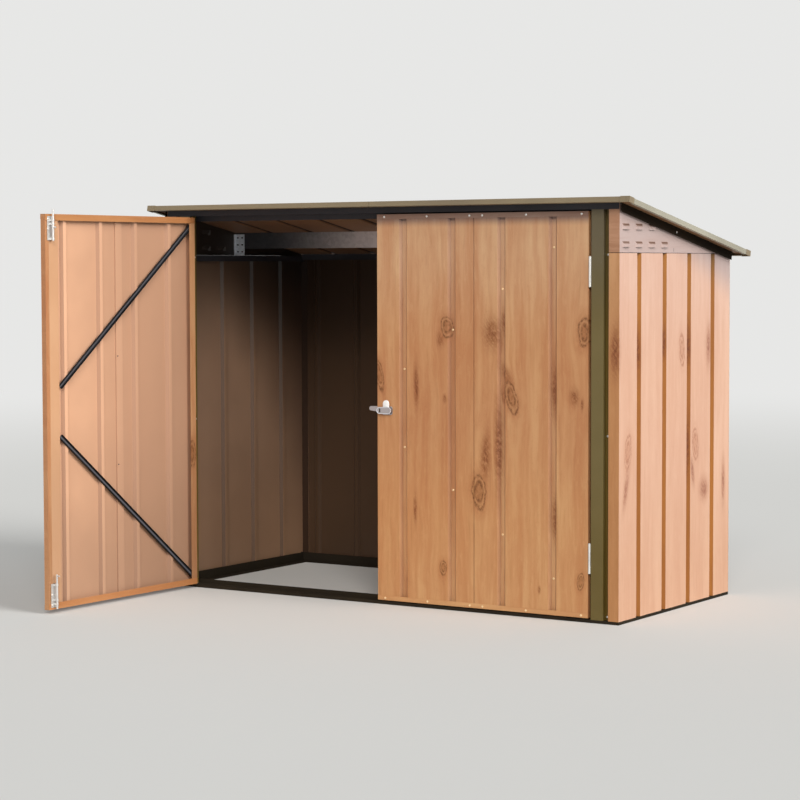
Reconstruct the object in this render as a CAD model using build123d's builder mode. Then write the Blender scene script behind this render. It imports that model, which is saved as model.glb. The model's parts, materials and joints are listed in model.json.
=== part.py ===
"""Sheet-steel bike store: pent roof, two outward doors, ribbed wood-print walls, no floor.

X runs to the right, Y to the back and Z up, in millimetres. The doors face -Y. The origin is
on the ground, at the middle of the footprint. The left door stands open and the right is shut.
"""
import os
from math import atan2, cos, hypot, radians, sin, tan

from build123d import *

# Outline of the store
width = 2150.0
depth = 985.0
roof_slope = 10.37
overhang_front = 51.5
overhang_side = 66.5
overhang_back = 53.0

# Sheets and folds
sheet = 1.0
frame_gauge = 1.5
seat = 0.3
rib_depth = 12.0
rib_mouth = 36.0
rib_floor = 16.0
sheet_lap = 18.0
lap_step = 2.0
side_rib_pitch = 219.0
side_first_rib = 163.0
back_rib_margin = 89.5
back_ribs_per_sheet = (2, 3, 3, 2)
wall_back_return = 35.0

# Base rails
rail_lip_height = 12.0
side_rail_ledge = 15.0
side_rail_height = 40.0
side_rail_reach = 60.0
sill_ledge = 50.0
sill_height = 30.0
sill_reach = 75.0
anchor_hole = 5.5
anchor_from_side = 40.0
anchor_from_end = 100.0

# Door posts and front corners
post_face = 52.0
post_depth = 42.0
post_lip = 12.0
recess_depth = 22.0
recess_width = 22.0
recess_clearance = 2.0
corner_strip = 45.0
wall_flange = 24.0

# Header, wall-top rails and purlin
door_head_gap = 6.0
header_height = 23.25
back_wall_rise = 6.0
stop_lip = 22.0
header_top_flange = 25.0
top_rail_drop = 24.0
purlin_from_front = 480.0
purlin_height = 69.0
purlin_flange = 40.0
purlin_lip = 12.0
bracket_reach = 14.0
bracket_height = 92.0
bracket_leg = 48.0
bracket_gauge = 2.0
slot_length = 11.0
slot_width = 6.0
eave_drop = 34.0
eave_stand = 9.0

# Gable vents
vent_width = 57.0
vent_height = 22.0
vent_reach = 8.0
vent_nose_width = 41.0
vent_nose_height = 5.0
vent_first = 50.0
vent_pitch = 109.0
vent_row_heights = (20.0, 87.0)
vents_per_row = (4, 3)

# Roof sheets and trims
roof_rib_height = 9.0
roof_rib_pitch = 217.0
roof_first_rib = 35.0
ribs_per_roof_sheet = 3
trim_height = 20.0
trim_below_sheet = 8.0
trim_top_lip = 22.0
trim_bottom_lip = 14.0
trim_joint = 1.0
cap_reach = 38.0
cap_wall = 1.5

# Door leaves
leaf_bottom = 17.0
leaf_height = 1550.0
leaf_depth = 25.0
hinge_gap = 13.0
meeting_line = -19.0
meeting_gap = 12.0
left_leaf_open = 91.4
hinge_return = 35.0
free_return = 20.0
leaf_lap = 36.0
leaf_lap_rise = 5.0
leaf_rib_from_hinge = 155.0
leaf_rib_from_free = 122.0
channel_outer = 19.0
channel_inner = 25.0
free_stile_width = 74.0
brace_width = 20.0
brace_from_end = 40.0
brace_from_middle = 98.0

# Hinges
hinge_height = 115.0
hinge_from_end = 229.0
knuckle_radius = 4.5
pin_radius = 2.5
running_clearance = 0.3
knuckle_gap = 1.0
middle_knuckle = 43.0
hinge_plate = 1.5
hinge_plate_depth = 20.0
hinge_tab = 2.0

# Barrel bolts of the left leaf
bolt_from_free = 30.0
bolt_plate_width = 40.0
bolt_plate_height = 94.0
bolt_plate_from_end = 8.0
rod_radius = 4.0
rod_standoff = 14.0
rod_hole_clearance = 1.5
strap_gauge = 1.5
strap_height = 8.0
straps_from_end = (97.0, 39.0, 23.0)
upper_rod_beyond_leaf = 20.0
upper_rod_length = 125.0
upper_knob_from_tip = 72.0
lower_rod_inside_leaf = 3.0
lower_rod_length = 136.0
lower_knob_from_tip = 130.0
rod_knob_radius = 3.0
rod_knob_length = 14.0

# Turn latch of the right leaf
latch_from_free = 47.0
latch_below_middle = 9.0
latch_plate_width = 50.0
latch_plate_height = 34.0
latch_boss_radius = 12.0
latch_boss_height = 5.0
spindle_radius = 5.0
spindle_clearance = 1.0
lever_gauge = 6.0
lever_left = 44.0
lever_right = 24.0
lever_height = 27.0
thumb_width = 27.0
thumb_height = 28.0
thumb_gauge = 5.0
cam_gauge = 3.0
cam_clear_of_leaf = 7.0
cam_reach = 107.0
cam_root = 27.0
cam_tip = 18.0
cam_heel = 14.0

# Places worked out from the sizes above
front = -depth / 2
back = depth / 2
half = width / 2
leaf_top = leaf_bottom + leaf_height
leaf_middle = leaf_bottom + leaf_height / 2
header_bottom = leaf_top + door_head_gap
header_top = header_bottom + header_height
rise = tan(radians(roof_slope))
back_wall_height = header_top - depth * rise
side_wall_height = back_wall_height - back_wall_rise
wall_bottom = rail_lip_height + seat
side_sheet_top = side_wall_height - frame_gauge - 2 * seat
back_sheet_top = back_wall_height - frame_gauge - seat
strip_x = half - corner_strip
post_outer = strip_x - recess_width
post_inner = post_outer - post_face
pin_to_edge = hinge_gap / 2
pin_x = post_inner - pin_to_edge
leaf_edge = post_inner - hinge_gap
leaf_widths = {
    "left": leaf_edge + meeting_line - meeting_gap / 2,
    "right": leaf_edge - meeting_line - meeting_gap / 2,
}
rib_inner = half - sheet - rib_depth
gable_inner = half - sheet
bolt_u = pin_to_edge + leaf_widths["left"] - bolt_from_free
rod_v = leaf_depth + rod_standoff


def roof_underside(y):
    """Height of the roof sheets' underside at a distance from the middle of the footprint."""
    return header_top + seat + (front - y) * rise


def ribbed_line(start, end, centres, rib, lap=0.0, behind=0.0):
    """Points of a sheet's face from start to end, pressed in by rib at each centre.

    A sheet with a lap starts that far behind the one before it, and steps out past its edge.
    """
    points = [(start, 0.0)]
    if lap > 0.0:
        points = [
            (start - lap, behind),
            (start + lap_step, behind),
            (start + 2 * lap_step, 0.0),
        ]
    for centre in centres:
        points.append((centre - rib_mouth / 2, 0.0))
        points.append((centre - rib_floor / 2, rib))
        points.append((centre + rib_floor / 2, rib))
        points.append((centre + rib_mouth / 2, 0.0))
    points.append((end, 0.0))
    return points


def rail_section(ledge, height, reach):
    """Outline of a base rail: outer lip, ledge, upstand and a flange that lies on the ground."""
    web = ledge + frame_gauge
    foot = [(web, 0.0)]
    if reach > web:
        foot = [(web, frame_gauge), (reach, frame_gauge), (reach, 0.0)]
    return [
        (0.0, 0.0),
        (0.0, rail_lip_height),
        (ledge, rail_lip_height),
        (ledge, height),
        (web, height),
        *foot,
        (ledge, 0.0),
        (ledge, rail_lip_height - frame_gauge),
        (frame_gauge, rail_lip_height - frame_gauge),
        (frame_gauge, 0.0),
        (0.0, 0.0),
    ]


def save(builder, name):
    """Label a finished piece and write it as one STEP file."""
    builder.part.label = name
    export_step(builder.part, f"parts/{name}.step")


os.makedirs("parts", exist_ok=True)

# Base rails
side_rail_start = front + sill_ledge + frame_gauge + seat
side_rail_end = back - side_rail_ledge - frame_gauge - seat
side_rail_section = rail_section(side_rail_ledge, side_rail_height, side_rail_reach)
for name, side in (("base_rail_left", -1), ("base_rail_right", 1)):
    with BuildPart() as base_rail_side:
        with BuildSketch(Plane.XZ.offset(-side_rail_start)):
            with BuildLine():
                Polyline([(half - x, z) for x, z in side_rail_section])
            make_face()
        extrude(amount=-(side_rail_end - side_rail_start))
        with BuildSketch(Plane.XZ.offset(-front)):
            with Locations((half - frame_gauge / 2, rail_lip_height / 2)):
                Rectangle(frame_gauge, rail_lip_height)
        extrude(amount=-depth)
        with BuildSketch():
            for y in (front + anchor_from_end, back - anchor_from_end):
                with Locations((half - anchor_from_side, y)):
                    Circle(anchor_hole)
        extrude(amount=2 * frame_gauge, mode=Mode.SUBTRACT)
        if side < 0:
            mirror(about=Plane.YZ, mode=Mode.REPLACE)
    save(base_rail_side, name)

rail_half = half - frame_gauge - seat
for name, edge, inward, ledge, height, reach in (
    ("base_rail_front", front, 1, sill_ledge, sill_height, sill_reach),
    ("base_rail_back", back, -1, side_rail_ledge, side_rail_height, side_rail_reach),
):
    with BuildPart() as base_rail_end:
        for section_reach, section_half in (
            (reach, half - side_rail_reach - seat),
            (ledge + frame_gauge, rail_half),
        ):
            with BuildSketch(Plane.YZ):
                with BuildLine():
                    Polyline([(edge + inward * y, z) for y, z in rail_section(ledge, height, section_reach)])
                make_face()
            extrude(amount=section_half, both=True)
        if name == "base_rail_front":
            with BuildSketch(Plane.XY.offset(rail_lip_height - 2 * frame_gauge)):
                with Locations((-pin_x + bolt_u, front + rod_v)):
                    Circle(rod_radius + rod_hole_clearance)
            extrude(amount=3 * frame_gauge, mode=Mode.SUBTRACT)
    save(base_rail_end, name)

# Side walls with their front and back returns
side_rib_count = int((depth - side_first_rib - rib_mouth) / side_rib_pitch) + 1
side_ribs = [front + side_first_rib + i * side_rib_pitch for i in range(side_rib_count)]
flange_y = front + recess_depth + frame_gauge + seat
return_y = back - sheet - seat
for name, side in (("side_wall_left", -1), ("side_wall_right", 1)):
    with BuildPart() as side_wall:
        with BuildSketch(Plane.XY.offset(wall_bottom)):
            with BuildLine():
                Polyline(
                    [(strip_x - wall_flange, flange_y), (strip_x, flange_y), (strip_x, front), (half, front)]
                    + [(half - d, y) for y, d in ribbed_line(front, return_y, side_ribs, rib_depth)[1:]]
                    + [(half - wall_back_return, return_y)]
                )
                offset(amount=sheet, side=Side.LEFT, kind=Kind.INTERSECTION)
            make_face()
        extrude(amount=side_sheet_top - wall_bottom)
        if side < 0:
            mirror(about=Plane.YZ, mode=Mode.REPLACE)
    save(side_wall, name)

# Back wall sheets, each tucked behind the one before it
first_rib = back_rib_margin - half
back_rib_pitch = -2 * first_rib / (sum(back_ribs_per_sheet) - 1)
placed = 0
for number, count in enumerate(back_ribs_per_sheet, start=1):
    centres = [first_rib + (placed + i) * back_rib_pitch for i in range(count)]
    placed += count
    start = -half if number == 1 else centres[0] - back_rib_pitch / 2 + sheet_lap / 2
    lap = 0.0 if number == 1 else sheet_lap
    end = half if number == len(back_ribs_per_sheet) else centres[-1] + back_rib_pitch / 2 + sheet_lap / 2
    with BuildPart() as back_wall:
        with BuildSketch(Plane.XY.offset(wall_bottom)):
            with BuildLine():
                line = ribbed_line(start, end, centres, rib_depth, lap, sheet + seat)
                Polyline([(x, back - d) for x, d in line])
                offset(amount=sheet, side=Side.RIGHT, kind=Kind.INTERSECTION)
            make_face()
        extrude(amount=back_sheet_top - wall_bottom)
    save(back_wall, f"back_wall_sheet_{number}")

# Door posts
for name, side in (("door_post_left", -1), ("door_post_right", 1)):
    with BuildPart() as door_post:
        with BuildSketch(Plane.XY.offset(wall_bottom)):
            with BuildLine():
                Polyline(
                    (post_inner + post_lip, front + post_depth),
                    (post_inner, front + post_depth),
                    (post_inner, front),
                    (post_outer, front),
                    (post_outer, front + recess_depth),
                    (strip_x - recess_clearance, front + recess_depth),
                )
                offset(amount=frame_gauge, side=Side.LEFT, kind=Kind.INTERSECTION)
            make_face()
        extrude(amount=header_bottom - seat - wall_bottom)
        if side < 0:
            mirror(about=Plane.YZ, mode=Mode.REPLACE)
    save(door_post, name)

# Header with its stop lip and the hole for the upper bolt
with BuildPart() as header:
    with BuildSketch(Plane.YZ):
        with BuildLine():
            Polyline(
                (front + header_top_flange, roof_underside(front + header_top_flange) - seat),
                (front, roof_underside(front) - seat),
                (front, header_bottom),
                (front + sill_ledge, header_bottom),
                (front + sill_ledge, header_bottom - stop_lip),
            )
            offset(amount=frame_gauge, side=Side.LEFT, kind=Kind.INTERSECTION)
        make_face()
    extrude(amount=gable_inner - seat, both=True)
    with BuildSketch(Plane.XY.offset(header_bottom - frame_gauge)):
        with Locations((-pin_x + bolt_u, front + rod_v)):
            Circle(rod_radius + rod_hole_clearance)
    extrude(amount=3 * frame_gauge, mode=Mode.SUBTRACT)
save(header, "header")

# Gables, one sheet each with a front return and hooded vents pressed out of it
gable_room = header_top - side_wall_height
for name, side in (("gable_left", -1), ("gable_right", 1)):
    with BuildPart() as gable:
        with BuildSketch(Plane.XY.offset(side_wall_height)):
            with BuildLine():
                Polyline((strip_x, front + recess_depth), (strip_x, front), (half, front), (half, return_y))
                offset(amount=sheet, side=Side.LEFT, kind=Kind.INTERSECTION)
            make_face()
        extrude(amount=gable_room)
        with BuildSketch(Plane.YZ):
            with BuildLine():
                Polyline(
                    (front - sheet, roof_underside(front - sheet) - seat),
                    (back + sheet, roof_underside(back + sheet) - seat),
                    (back + sheet, side_wall_height + 2 * gable_room),
                    (front - sheet, side_wall_height + 2 * gable_room),
                    (front - sheet, roof_underside(front - sheet) - seat),
                )
            make_face()
        extrude(amount=width, both=True, mode=Mode.SUBTRACT)
        with BuildSketch(Plane.YZ.offset(strip_x - sheet)):
            with Locations((front + recess_depth / 2, header_bottom - seat + gable_room / 2)):
                Rectangle(recess_depth + 2 * sheet, gable_room)
        extrude(amount=corner_strip, mode=Mode.SUBTRACT)
        for row_height, vents in zip(vent_row_heights, vents_per_row):
            slit = side_wall_height + row_height
            for i in range(vents):
                middle = front + vent_first + i * vent_pitch
                for face, mode in ((half, Mode.ADD), (gable_inner, Mode.SUBTRACT)):
                    with BuildSketch(Plane.YZ.offset(face)):
                        with Locations((middle, slit + vent_height / 2)):
                            Rectangle(vent_width, vent_height)
                    with BuildSketch(Plane.YZ.offset(face + vent_reach)):
                        with Locations((middle, slit + vent_nose_height / 2)):
                            Rectangle(vent_nose_width, vent_nose_height)
                    loft(ruled=True, mode=mode)
        if side < 0:
            mirror(about=Plane.YZ, mode=Mode.REPLACE)
    save(gable, name)

# Rails along the tops of the walls
top_rail_x = rib_inner - seat - frame_gauge
top_rail_y = back - sheet - rib_depth - seat - frame_gauge
top_rail_start = front + sill_ledge + frame_gauge + seat
with BuildPart() as wall_top_rails:
    with BuildSketch(Plane.XZ.offset(-top_rail_start)):
        for side in (-1, 1):
            with BuildLine():
                Polyline(
                    (side * top_rail_x, side_sheet_top - top_rail_drop),
                    (side * top_rail_x, side_sheet_top + seat + frame_gauge),
                    (side * half, side_sheet_top + seat + frame_gauge),
                    (side * half, side_sheet_top + seat),
                    (side * (top_rail_x + frame_gauge), side_sheet_top + seat),
                    (side * (top_rail_x + frame_gauge), side_sheet_top - top_rail_drop),
                    (side * top_rail_x, side_sheet_top - top_rail_drop),
                )
            make_face()
    extrude(amount=-(return_y - sheet - seat - top_rail_start))
save(wall_top_rails, "wall_top_rails")

with BuildPart() as wall_top_rail_back:
    with BuildSketch(Plane.YZ):
        with BuildLine():
            Polyline(
                (top_rail_y, back_sheet_top - top_rail_drop),
                (top_rail_y, back_sheet_top + seat + frame_gauge),
                (back, back_sheet_top + seat + frame_gauge),
                (back, back_sheet_top + seat),
                (top_rail_y + frame_gauge, back_sheet_top + seat),
                (top_rail_y + frame_gauge, back_sheet_top - top_rail_drop),
                (top_rail_y, back_sheet_top - top_rail_drop),
            )
        make_face()
    extrude(amount=top_rail_x - seat, both=True)
save(wall_top_rail_back, "wall_top_rail_back")

# Purlin and its end brackets
purlin_y = front + purlin_from_front
purlin_back = purlin_y + purlin_flange
purlin_bottom = roof_underside(purlin_y) - seat - purlin_height
purlin_lip_top = roof_underside(purlin_back) - seat - purlin_lip
bracket_x = gable_inner - seat
bracket_bottom = side_wall_height + seat
slot_places = [
    (side * (bracket_x - bracket_leg * column / 4), bracket_bottom + bracket_height * row / 6)
    for side in (-1, 1)
    for column in (1, 3)
    for row in (1, 3, 5)
]
with BuildPart() as purlin:
    with BuildSketch(Plane.YZ):
        with BuildLine():
            Polyline(
                (purlin_back, purlin_lip_top),
                (purlin_back, roof_underside(purlin_back) - seat),
                (purlin_y, roof_underside(purlin_y) - seat),
                (purlin_y, purlin_bottom),
                (purlin_back, purlin_bottom),
                (purlin_back, purlin_bottom + purlin_lip),
            )
            offset(amount=frame_gauge, side=Side.LEFT, kind=Kind.INTERSECTION)
        make_face()
    extrude(amount=gable_inner - seat, both=True)
    with BuildSketch(Plane.XZ.offset(-purlin_y - frame_gauge)):
        with Locations(*slot_places):
            Rectangle(slot_length, slot_width)
    extrude(amount=2 * frame_gauge, mode=Mode.SUBTRACT)
save(purlin, "purlin")

bracket_y = purlin_y - seat
with BuildPart() as purlin_brackets:
    with BuildSketch(Plane.XY.offset(bracket_bottom)):
        for side in (-1, 1):
            with BuildLine():
                Polyline(
                    (side * bracket_x, bracket_y - bracket_reach),
                    (side * bracket_x, bracket_y),
                    (side * (bracket_x - bracket_leg), bracket_y),
                    (side * (bracket_x - bracket_leg), bracket_y - bracket_gauge),
                    (side * (bracket_x - bracket_gauge), bracket_y - bracket_gauge),
                    (side * (bracket_x - bracket_gauge), bracket_y - bracket_reach),
                    (side * bracket_x, bracket_y - bracket_reach),
                )
            make_face()
    extrude(amount=bracket_height)
    with BuildSketch(Plane.XZ.offset(-bracket_y)):
        with Locations(*slot_places):
            Rectangle(slot_length, slot_width)
    extrude(amount=bracket_gauge, mode=Mode.SUBTRACT)
save(purlin_brackets, "purlin_brackets")

# Roof, drawn on a plane that lies along the sheets' underside
roof_plane = Plane(
    origin=(0.0, front, roof_underside(front)),
    x_dir=(1.0, 0.0, 0.0),
    z_dir=(0.0, sin(radians(roof_slope)), cos(radians(roof_slope))),
)
roof_half = half + overhang_side
roof_front = -overhang_front / cos(radians(roof_slope))
roof_back = (depth + overhang_back) / cos(radians(roof_slope))
sheet_front = roof_front + frame_gauge + seat
sheet_back = roof_back - frame_gauge - seat
sheet_edge = roof_half - frame_gauge - seat
roof_section_plane = Plane(
    origin=roof_plane.from_local_coords(Vector(0.0, sheet_front, 0.0)),
    x_dir=(1.0, 0.0, 0.0),
    z_dir=-roof_plane.y_dir,
)
roof_rib_count = int((sheet_edge + roof_half - roof_first_rib - rib_mouth / 2) / roof_rib_pitch) + 1
roof_ribs = [-roof_half + roof_first_rib + i * roof_rib_pitch for i in range(roof_rib_count)]
groups = [roof_ribs[i : i + ribs_per_roof_sheet] for i in range(0, roof_rib_count, ribs_per_roof_sheet)]
for number, ribs in enumerate(groups, start=1):
    start = -sheet_edge if number == 1 else ribs[0] - roof_rib_pitch / 2 + seat / 2
    end = sheet_edge if number == len(groups) else ribs[-1] + roof_rib_pitch / 2 - seat / 2
    with BuildPart() as roof_sheet:
        with BuildSketch(roof_section_plane):
            with BuildLine():
                Polyline(ribbed_line(start, end, ribs, roof_rib_height))
                offset(amount=sheet, side=Side.LEFT, kind=Kind.INTERSECTION)
            make_face()
        extrude(amount=-(sheet_back - sheet_front))
    save(roof_sheet, f"roof_sheet_{number}")

# Rails outside the gables, close under the roof
eave_section_plane = Plane(origin=roof_plane.origin, x_dir=(1.0, 0.0, 0.0), z_dir=-roof_plane.y_dir)
eave_top = -seat * cos(radians(roof_slope))
with BuildPart() as eave_rails:
    for side, turn in ((-1, Side.LEFT), (1, Side.RIGHT)):
        with BuildSketch(eave_section_plane):
            with BuildLine():
                Polyline(
                    (side * (half + seat), eave_top),
                    (side * (half + eave_stand + frame_gauge), eave_top),
                    (side * (half + eave_stand + frame_gauge), -eave_drop),
                )
                offset(amount=frame_gauge, side=turn, kind=Kind.INTERSECTION)
            make_face()
        extrude(amount=-depth / cos(radians(roof_slope)))
save(eave_rails, "eave_rails")

trim_low = -trim_below_sheet
trim_high = trim_height - trim_below_sheet


def trim_section(edge, inward):
    """Outline of a roof trim: a face with a lip over the sheet and a shorter one under it."""
    return [
        (edge + inward * trim_top_lip, trim_high),
        (edge, trim_high),
        (edge, trim_low),
        (edge + inward * trim_bottom_lip, trim_low),
    ]


across_roof = Plane(origin=roof_plane.origin, x_dir=roof_plane.y_dir, z_dir=roof_plane.x_dir)
for name, edge, inward, side in (
    ("roof_trim_front", roof_front, 1, Side.LEFT),
    ("roof_trim_back", roof_back, -1, Side.RIGHT),
):
    with BuildPart() as roof_trim_end:
        with BuildSketch(across_roof):
            with BuildLine():
                Polyline(trim_section(edge, inward))
                offset(amount=frame_gauge, side=side, kind=Kind.INTERSECTION)
            make_face()
        extrude(amount=roof_half - cap_reach - seat, both=True)
        with BuildSketch(roof_plane.offset(-trim_height)):
            with Locations((meeting_line, edge)):
                Rectangle(trim_joint, 2 * trim_top_lip + 2 * frame_gauge)
        extrude(amount=2 * trim_height, mode=Mode.SUBTRACT)
    save(roof_trim_end, name)

along_roof = Plane(
    origin=roof_plane.from_local_coords(Vector(0.0, roof_front + cap_reach + seat, 0.0)),
    x_dir=(1.0, 0.0, 0.0),
    z_dir=-roof_plane.y_dir,
)
with BuildPart() as roof_trims_side:
    for edge, inward, side in ((-roof_half, 1, Side.LEFT), (roof_half, -1, Side.RIGHT)):
        with BuildSketch(along_roof):
            with BuildLine():
                Polyline(trim_section(edge, inward))
                offset(amount=frame_gauge, side=side, kind=Kind.INTERSECTION)
            make_face()
        extrude(amount=-(roof_back - roof_front - 2 * cap_reach - 2 * seat))
save(roof_trims_side, "roof_trims_side")

with BuildPart() as roof_corner_caps:
    for x in (-roof_half, roof_half):
        for y in (roof_front, roof_back):
            into_x = -1 if x > 0 else 1
            into_y = -1 if y > 0 else 1
            corner = (x - into_x * cap_wall, y - into_y * cap_wall)
            with BuildSketch(roof_plane.offset(trim_low - cap_wall)):
                with BuildLine():
                    Polyline(
                        corner,
                        (x + into_x * cap_reach, y - into_y * cap_wall),
                        (x + into_x * cap_reach, y),
                        (x, y),
                        (x, y + into_y * cap_reach),
                        (x - into_x * cap_wall, y + into_y * cap_reach),
                        corner,
                    )
                make_face()
            extrude(amount=trim_height + cap_wall)
            with BuildSketch(roof_plane.offset(trim_high)):
                with BuildLine():
                    Polyline(
                        corner,
                        (x + into_x * cap_reach, y - into_y * cap_wall),
                        (x + into_x * cap_reach, y + into_y * cap_reach),
                        (x - into_x * cap_wall, y + into_y * cap_reach),
                        corner,
                    )
                make_face()
            extrude(amount=cap_wall)
save(roof_corner_caps, "roof_corner_caps")

# Door leaves, each drawn from its hinge pin: u to the free edge, v inwards, w along the pin
open_angle = radians(left_leaf_open)
leaf_planes = {
    "left": Plane(
        origin=(-pin_x, front, leaf_middle),
        x_dir=(cos(open_angle), -sin(open_angle), 0.0),
        z_dir=(0.0, 0.0, 1.0),
    ),
    "right": Plane(origin=(pin_x, front, leaf_middle), x_dir=(-1.0, 0.0, 0.0), z_dir=(0.0, 0.0, -1.0)),
}
face_v = sheet + seat
return_v = leaf_depth - sheet - seat
stile_v = return_v - sheet - seat
half_leaf = leaf_height / 2
sheet_half_height = half_leaf - sheet - seat
stile_half_height = half_leaf - channel_inner - seat
for hand, leaf in leaf_planes.items():
    hinge_edge = pin_to_edge
    free_edge = pin_to_edge + leaf_widths[hand]
    rib_pitch = (leaf_widths[hand] - leaf_rib_from_hinge - leaf_rib_from_free) / 3
    ribs = [hinge_edge + leaf_rib_from_hinge + i * rib_pitch for i in range(4)]
    seam = (ribs[1] + ribs[2]) / 2 + sheet_lap / 2
    side_plane = Plane(origin=leaf.origin, x_dir=leaf.y_dir, z_dir=leaf.x_dir)
    latch_u = free_edge - latch_from_free
    spindle_plane = Plane(
        origin=leaf.from_local_coords(Vector(latch_u, 0.0, latch_below_middle)),
        x_dir=leaf.x_dir,
        z_dir=leaf.y_dir,
    )

    with BuildPart() as hinge_side_sheet:
        outer = ribbed_line(hinge_edge, seam, ribs[:2], rib_depth)
        with BuildSketch(leaf.offset(-sheet_half_height)):
            with BuildLine():
                Polyline(
                    [(hinge_edge + hinge_return, return_v), (hinge_edge, return_v), (hinge_edge, face_v)]
                    + [(u, face_v + v) for u, v in outer[1:]]
                )
                offset(amount=sheet, side=Side.LEFT, kind=Kind.INTERSECTION)
            make_face()
        extrude(amount=2 * sheet_half_height)
    save(hinge_side_sheet, f"{hand}_door_sheet_hinge_side")

    with BuildPart() as free_side_sheet:
        outer = ribbed_line(seam, free_edge, ribs[2:], rib_depth, leaf_lap, leaf_lap_rise)
        with BuildSketch(leaf.offset(-sheet_half_height)):
            with BuildLine():
                Polyline(
                    [(u, face_v + v) for u, v in outer]
                    + [(free_edge, return_v), (free_edge - free_return, return_v)]
                )
                offset(amount=sheet, side=Side.LEFT, kind=Kind.INTERSECTION)
            make_face()
        extrude(amount=2 * sheet_half_height)
        if hand == "right":
            with BuildSketch(spindle_plane):
                Circle(spindle_radius + spindle_clearance)
            extrude(amount=leaf_depth, mode=Mode.SUBTRACT)
    save(free_side_sheet, f"{hand}_door_sheet_free_side")

    with BuildPart() as edge_channels:
        for end in (-1, 1):
            with BuildSketch(side_plane.offset(hinge_edge)):
                with BuildLine():
                    Polyline(
                        (0.0, end * (half_leaf - channel_outer)),
                        (0.0, end * half_leaf),
                        (leaf_depth, end * half_leaf),
                        (leaf_depth, end * (half_leaf - channel_inner)),
                    )
                    offset(amount=sheet, side=Side.RIGHT if end > 0 else Side.LEFT, kind=Kind.INTERSECTION)
                make_face()
            extrude(amount=leaf_widths[hand])
    save(edge_channels, f"{hand}_door_edge_channels")

    stile_edge = free_edge - free_stile_width
    with BuildPart() as free_stile:
        with BuildSketch(leaf.offset(-stile_half_height)):
            with BuildLine():
                Polyline(
                    (stile_edge, face_v + sheet + seat),
                    (stile_edge, stile_v),
                    (free_edge - sheet - seat, stile_v),
                    (free_edge - sheet - seat, face_v + sheet + seat),
                )
                offset(amount=sheet, side=Side.RIGHT, kind=Kind.INTERSECTION)
            make_face()
        extrude(amount=2 * stile_half_height)
        if hand == "right":
            with BuildSketch(spindle_plane):
                Circle(spindle_radius + spindle_clearance)
            extrude(amount=leaf_depth, mode=Mode.SUBTRACT)
    save(free_stile, f"{hand}_door_free_stile")

    brace_low = face_v + rib_depth + sheet + seat
    brace_start = hinge_edge + hinge_return - brace_width / 2
    brace_run = stile_edge - seat - brace_width / 2 - brace_start
    brace_at_hinge = half_leaf - brace_from_end
    brace_drop = brace_at_hinge - brace_from_middle
    fall = atan2(brace_drop, brace_run)
    with BuildPart() as braces:
        for end in (-1, 1):
            along = leaf.x_dir * cos(fall) - leaf.z_dir * (end * sin(fall))
            brace_plane = Plane(
                origin=leaf.from_local_coords(Vector(brace_start, 0.0, end * brace_at_hinge)),
                x_dir=leaf.y_dir,
                z_dir=along,
            )
            with BuildSketch(brace_plane):
                with BuildLine():
                    Polyline(
                        (stile_v - seat, -brace_width / 2),
                        (brace_low, -brace_width / 2),
                        (brace_low, brace_width / 2),
                        (stile_v - seat, brace_width / 2),
                    )
                    offset(amount=frame_gauge, side=Side.RIGHT, kind=Kind.INTERSECTION)
                make_face()
            extrude(amount=hypot(brace_run, brace_drop))
    save(braces, f"{hand}_door_braces")

# Hinges: plates with their knuckles, on the leaves and on the posts
outer_knuckle = (hinge_height - middle_knuckle) / 2 - knuckle_gap
hinge_middles = (hinge_from_end - half_leaf, half_leaf - hinge_from_end)
plate_u = pin_to_edge - seat - hinge_plate / 2
plate_v = (hinge_plate_depth + hinge_tab) / 2
tab_u = (pin_to_edge - seat) / 2
tab_v = knuckle_radius - hinge_tab / 2
with BuildPart() as post_hinge_leaves:
    for hand, towards in (("left", 1.0), ("right", -1.0)):
        pin = leaf_planes[hand].origin
        pin_plane = Plane(origin=pin, x_dir=(towards, 0.0, 0.0), z_dir=(0.0, 0.0, towards))
        for middle in hinge_middles:
            with BuildSketch(pin_plane.offset(middle - hinge_height / 2)):
                with Locations((-plate_u, plate_v)):
                    Rectangle(hinge_plate, hinge_plate_depth - hinge_tab)
            extrude(amount=hinge_height)
            for low in (middle - hinge_height / 2, middle + hinge_height / 2 - outer_knuckle):
                with BuildSketch(pin_plane.offset(low)):
                    Circle(knuckle_radius)
                    with Locations((-tab_u, tab_v)):
                        Rectangle(2 * tab_u, hinge_tab)
                extrude(amount=outer_knuckle)
            with BuildSketch(pin_plane.offset(middle - hinge_height / 2)):
                Circle(pin_radius)
            extrude(amount=hinge_height)
save(post_hinge_leaves, "post_hinge_leaves")

for hand, leaf in leaf_planes.items():
    with BuildPart() as door_hinge_leaves:
        for middle in hinge_middles:
            with BuildSketch(leaf.offset(middle - hinge_height / 2)):
                with Locations((plate_u, plate_v)):
                    Rectangle(hinge_plate, hinge_plate_depth - hinge_tab)
            extrude(amount=hinge_height)
            with BuildSketch(leaf.offset(middle - middle_knuckle / 2)):
                Circle(knuckle_radius)
                with Locations((tab_u, tab_v)):
                    Rectangle(2 * tab_u, hinge_tab)
                Circle(pin_radius + running_clearance, mode=Mode.SUBTRACT)
            extrude(amount=middle_knuckle)
    save(door_hinge_leaves, f"{hand}_door_hinge_leaves")

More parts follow.
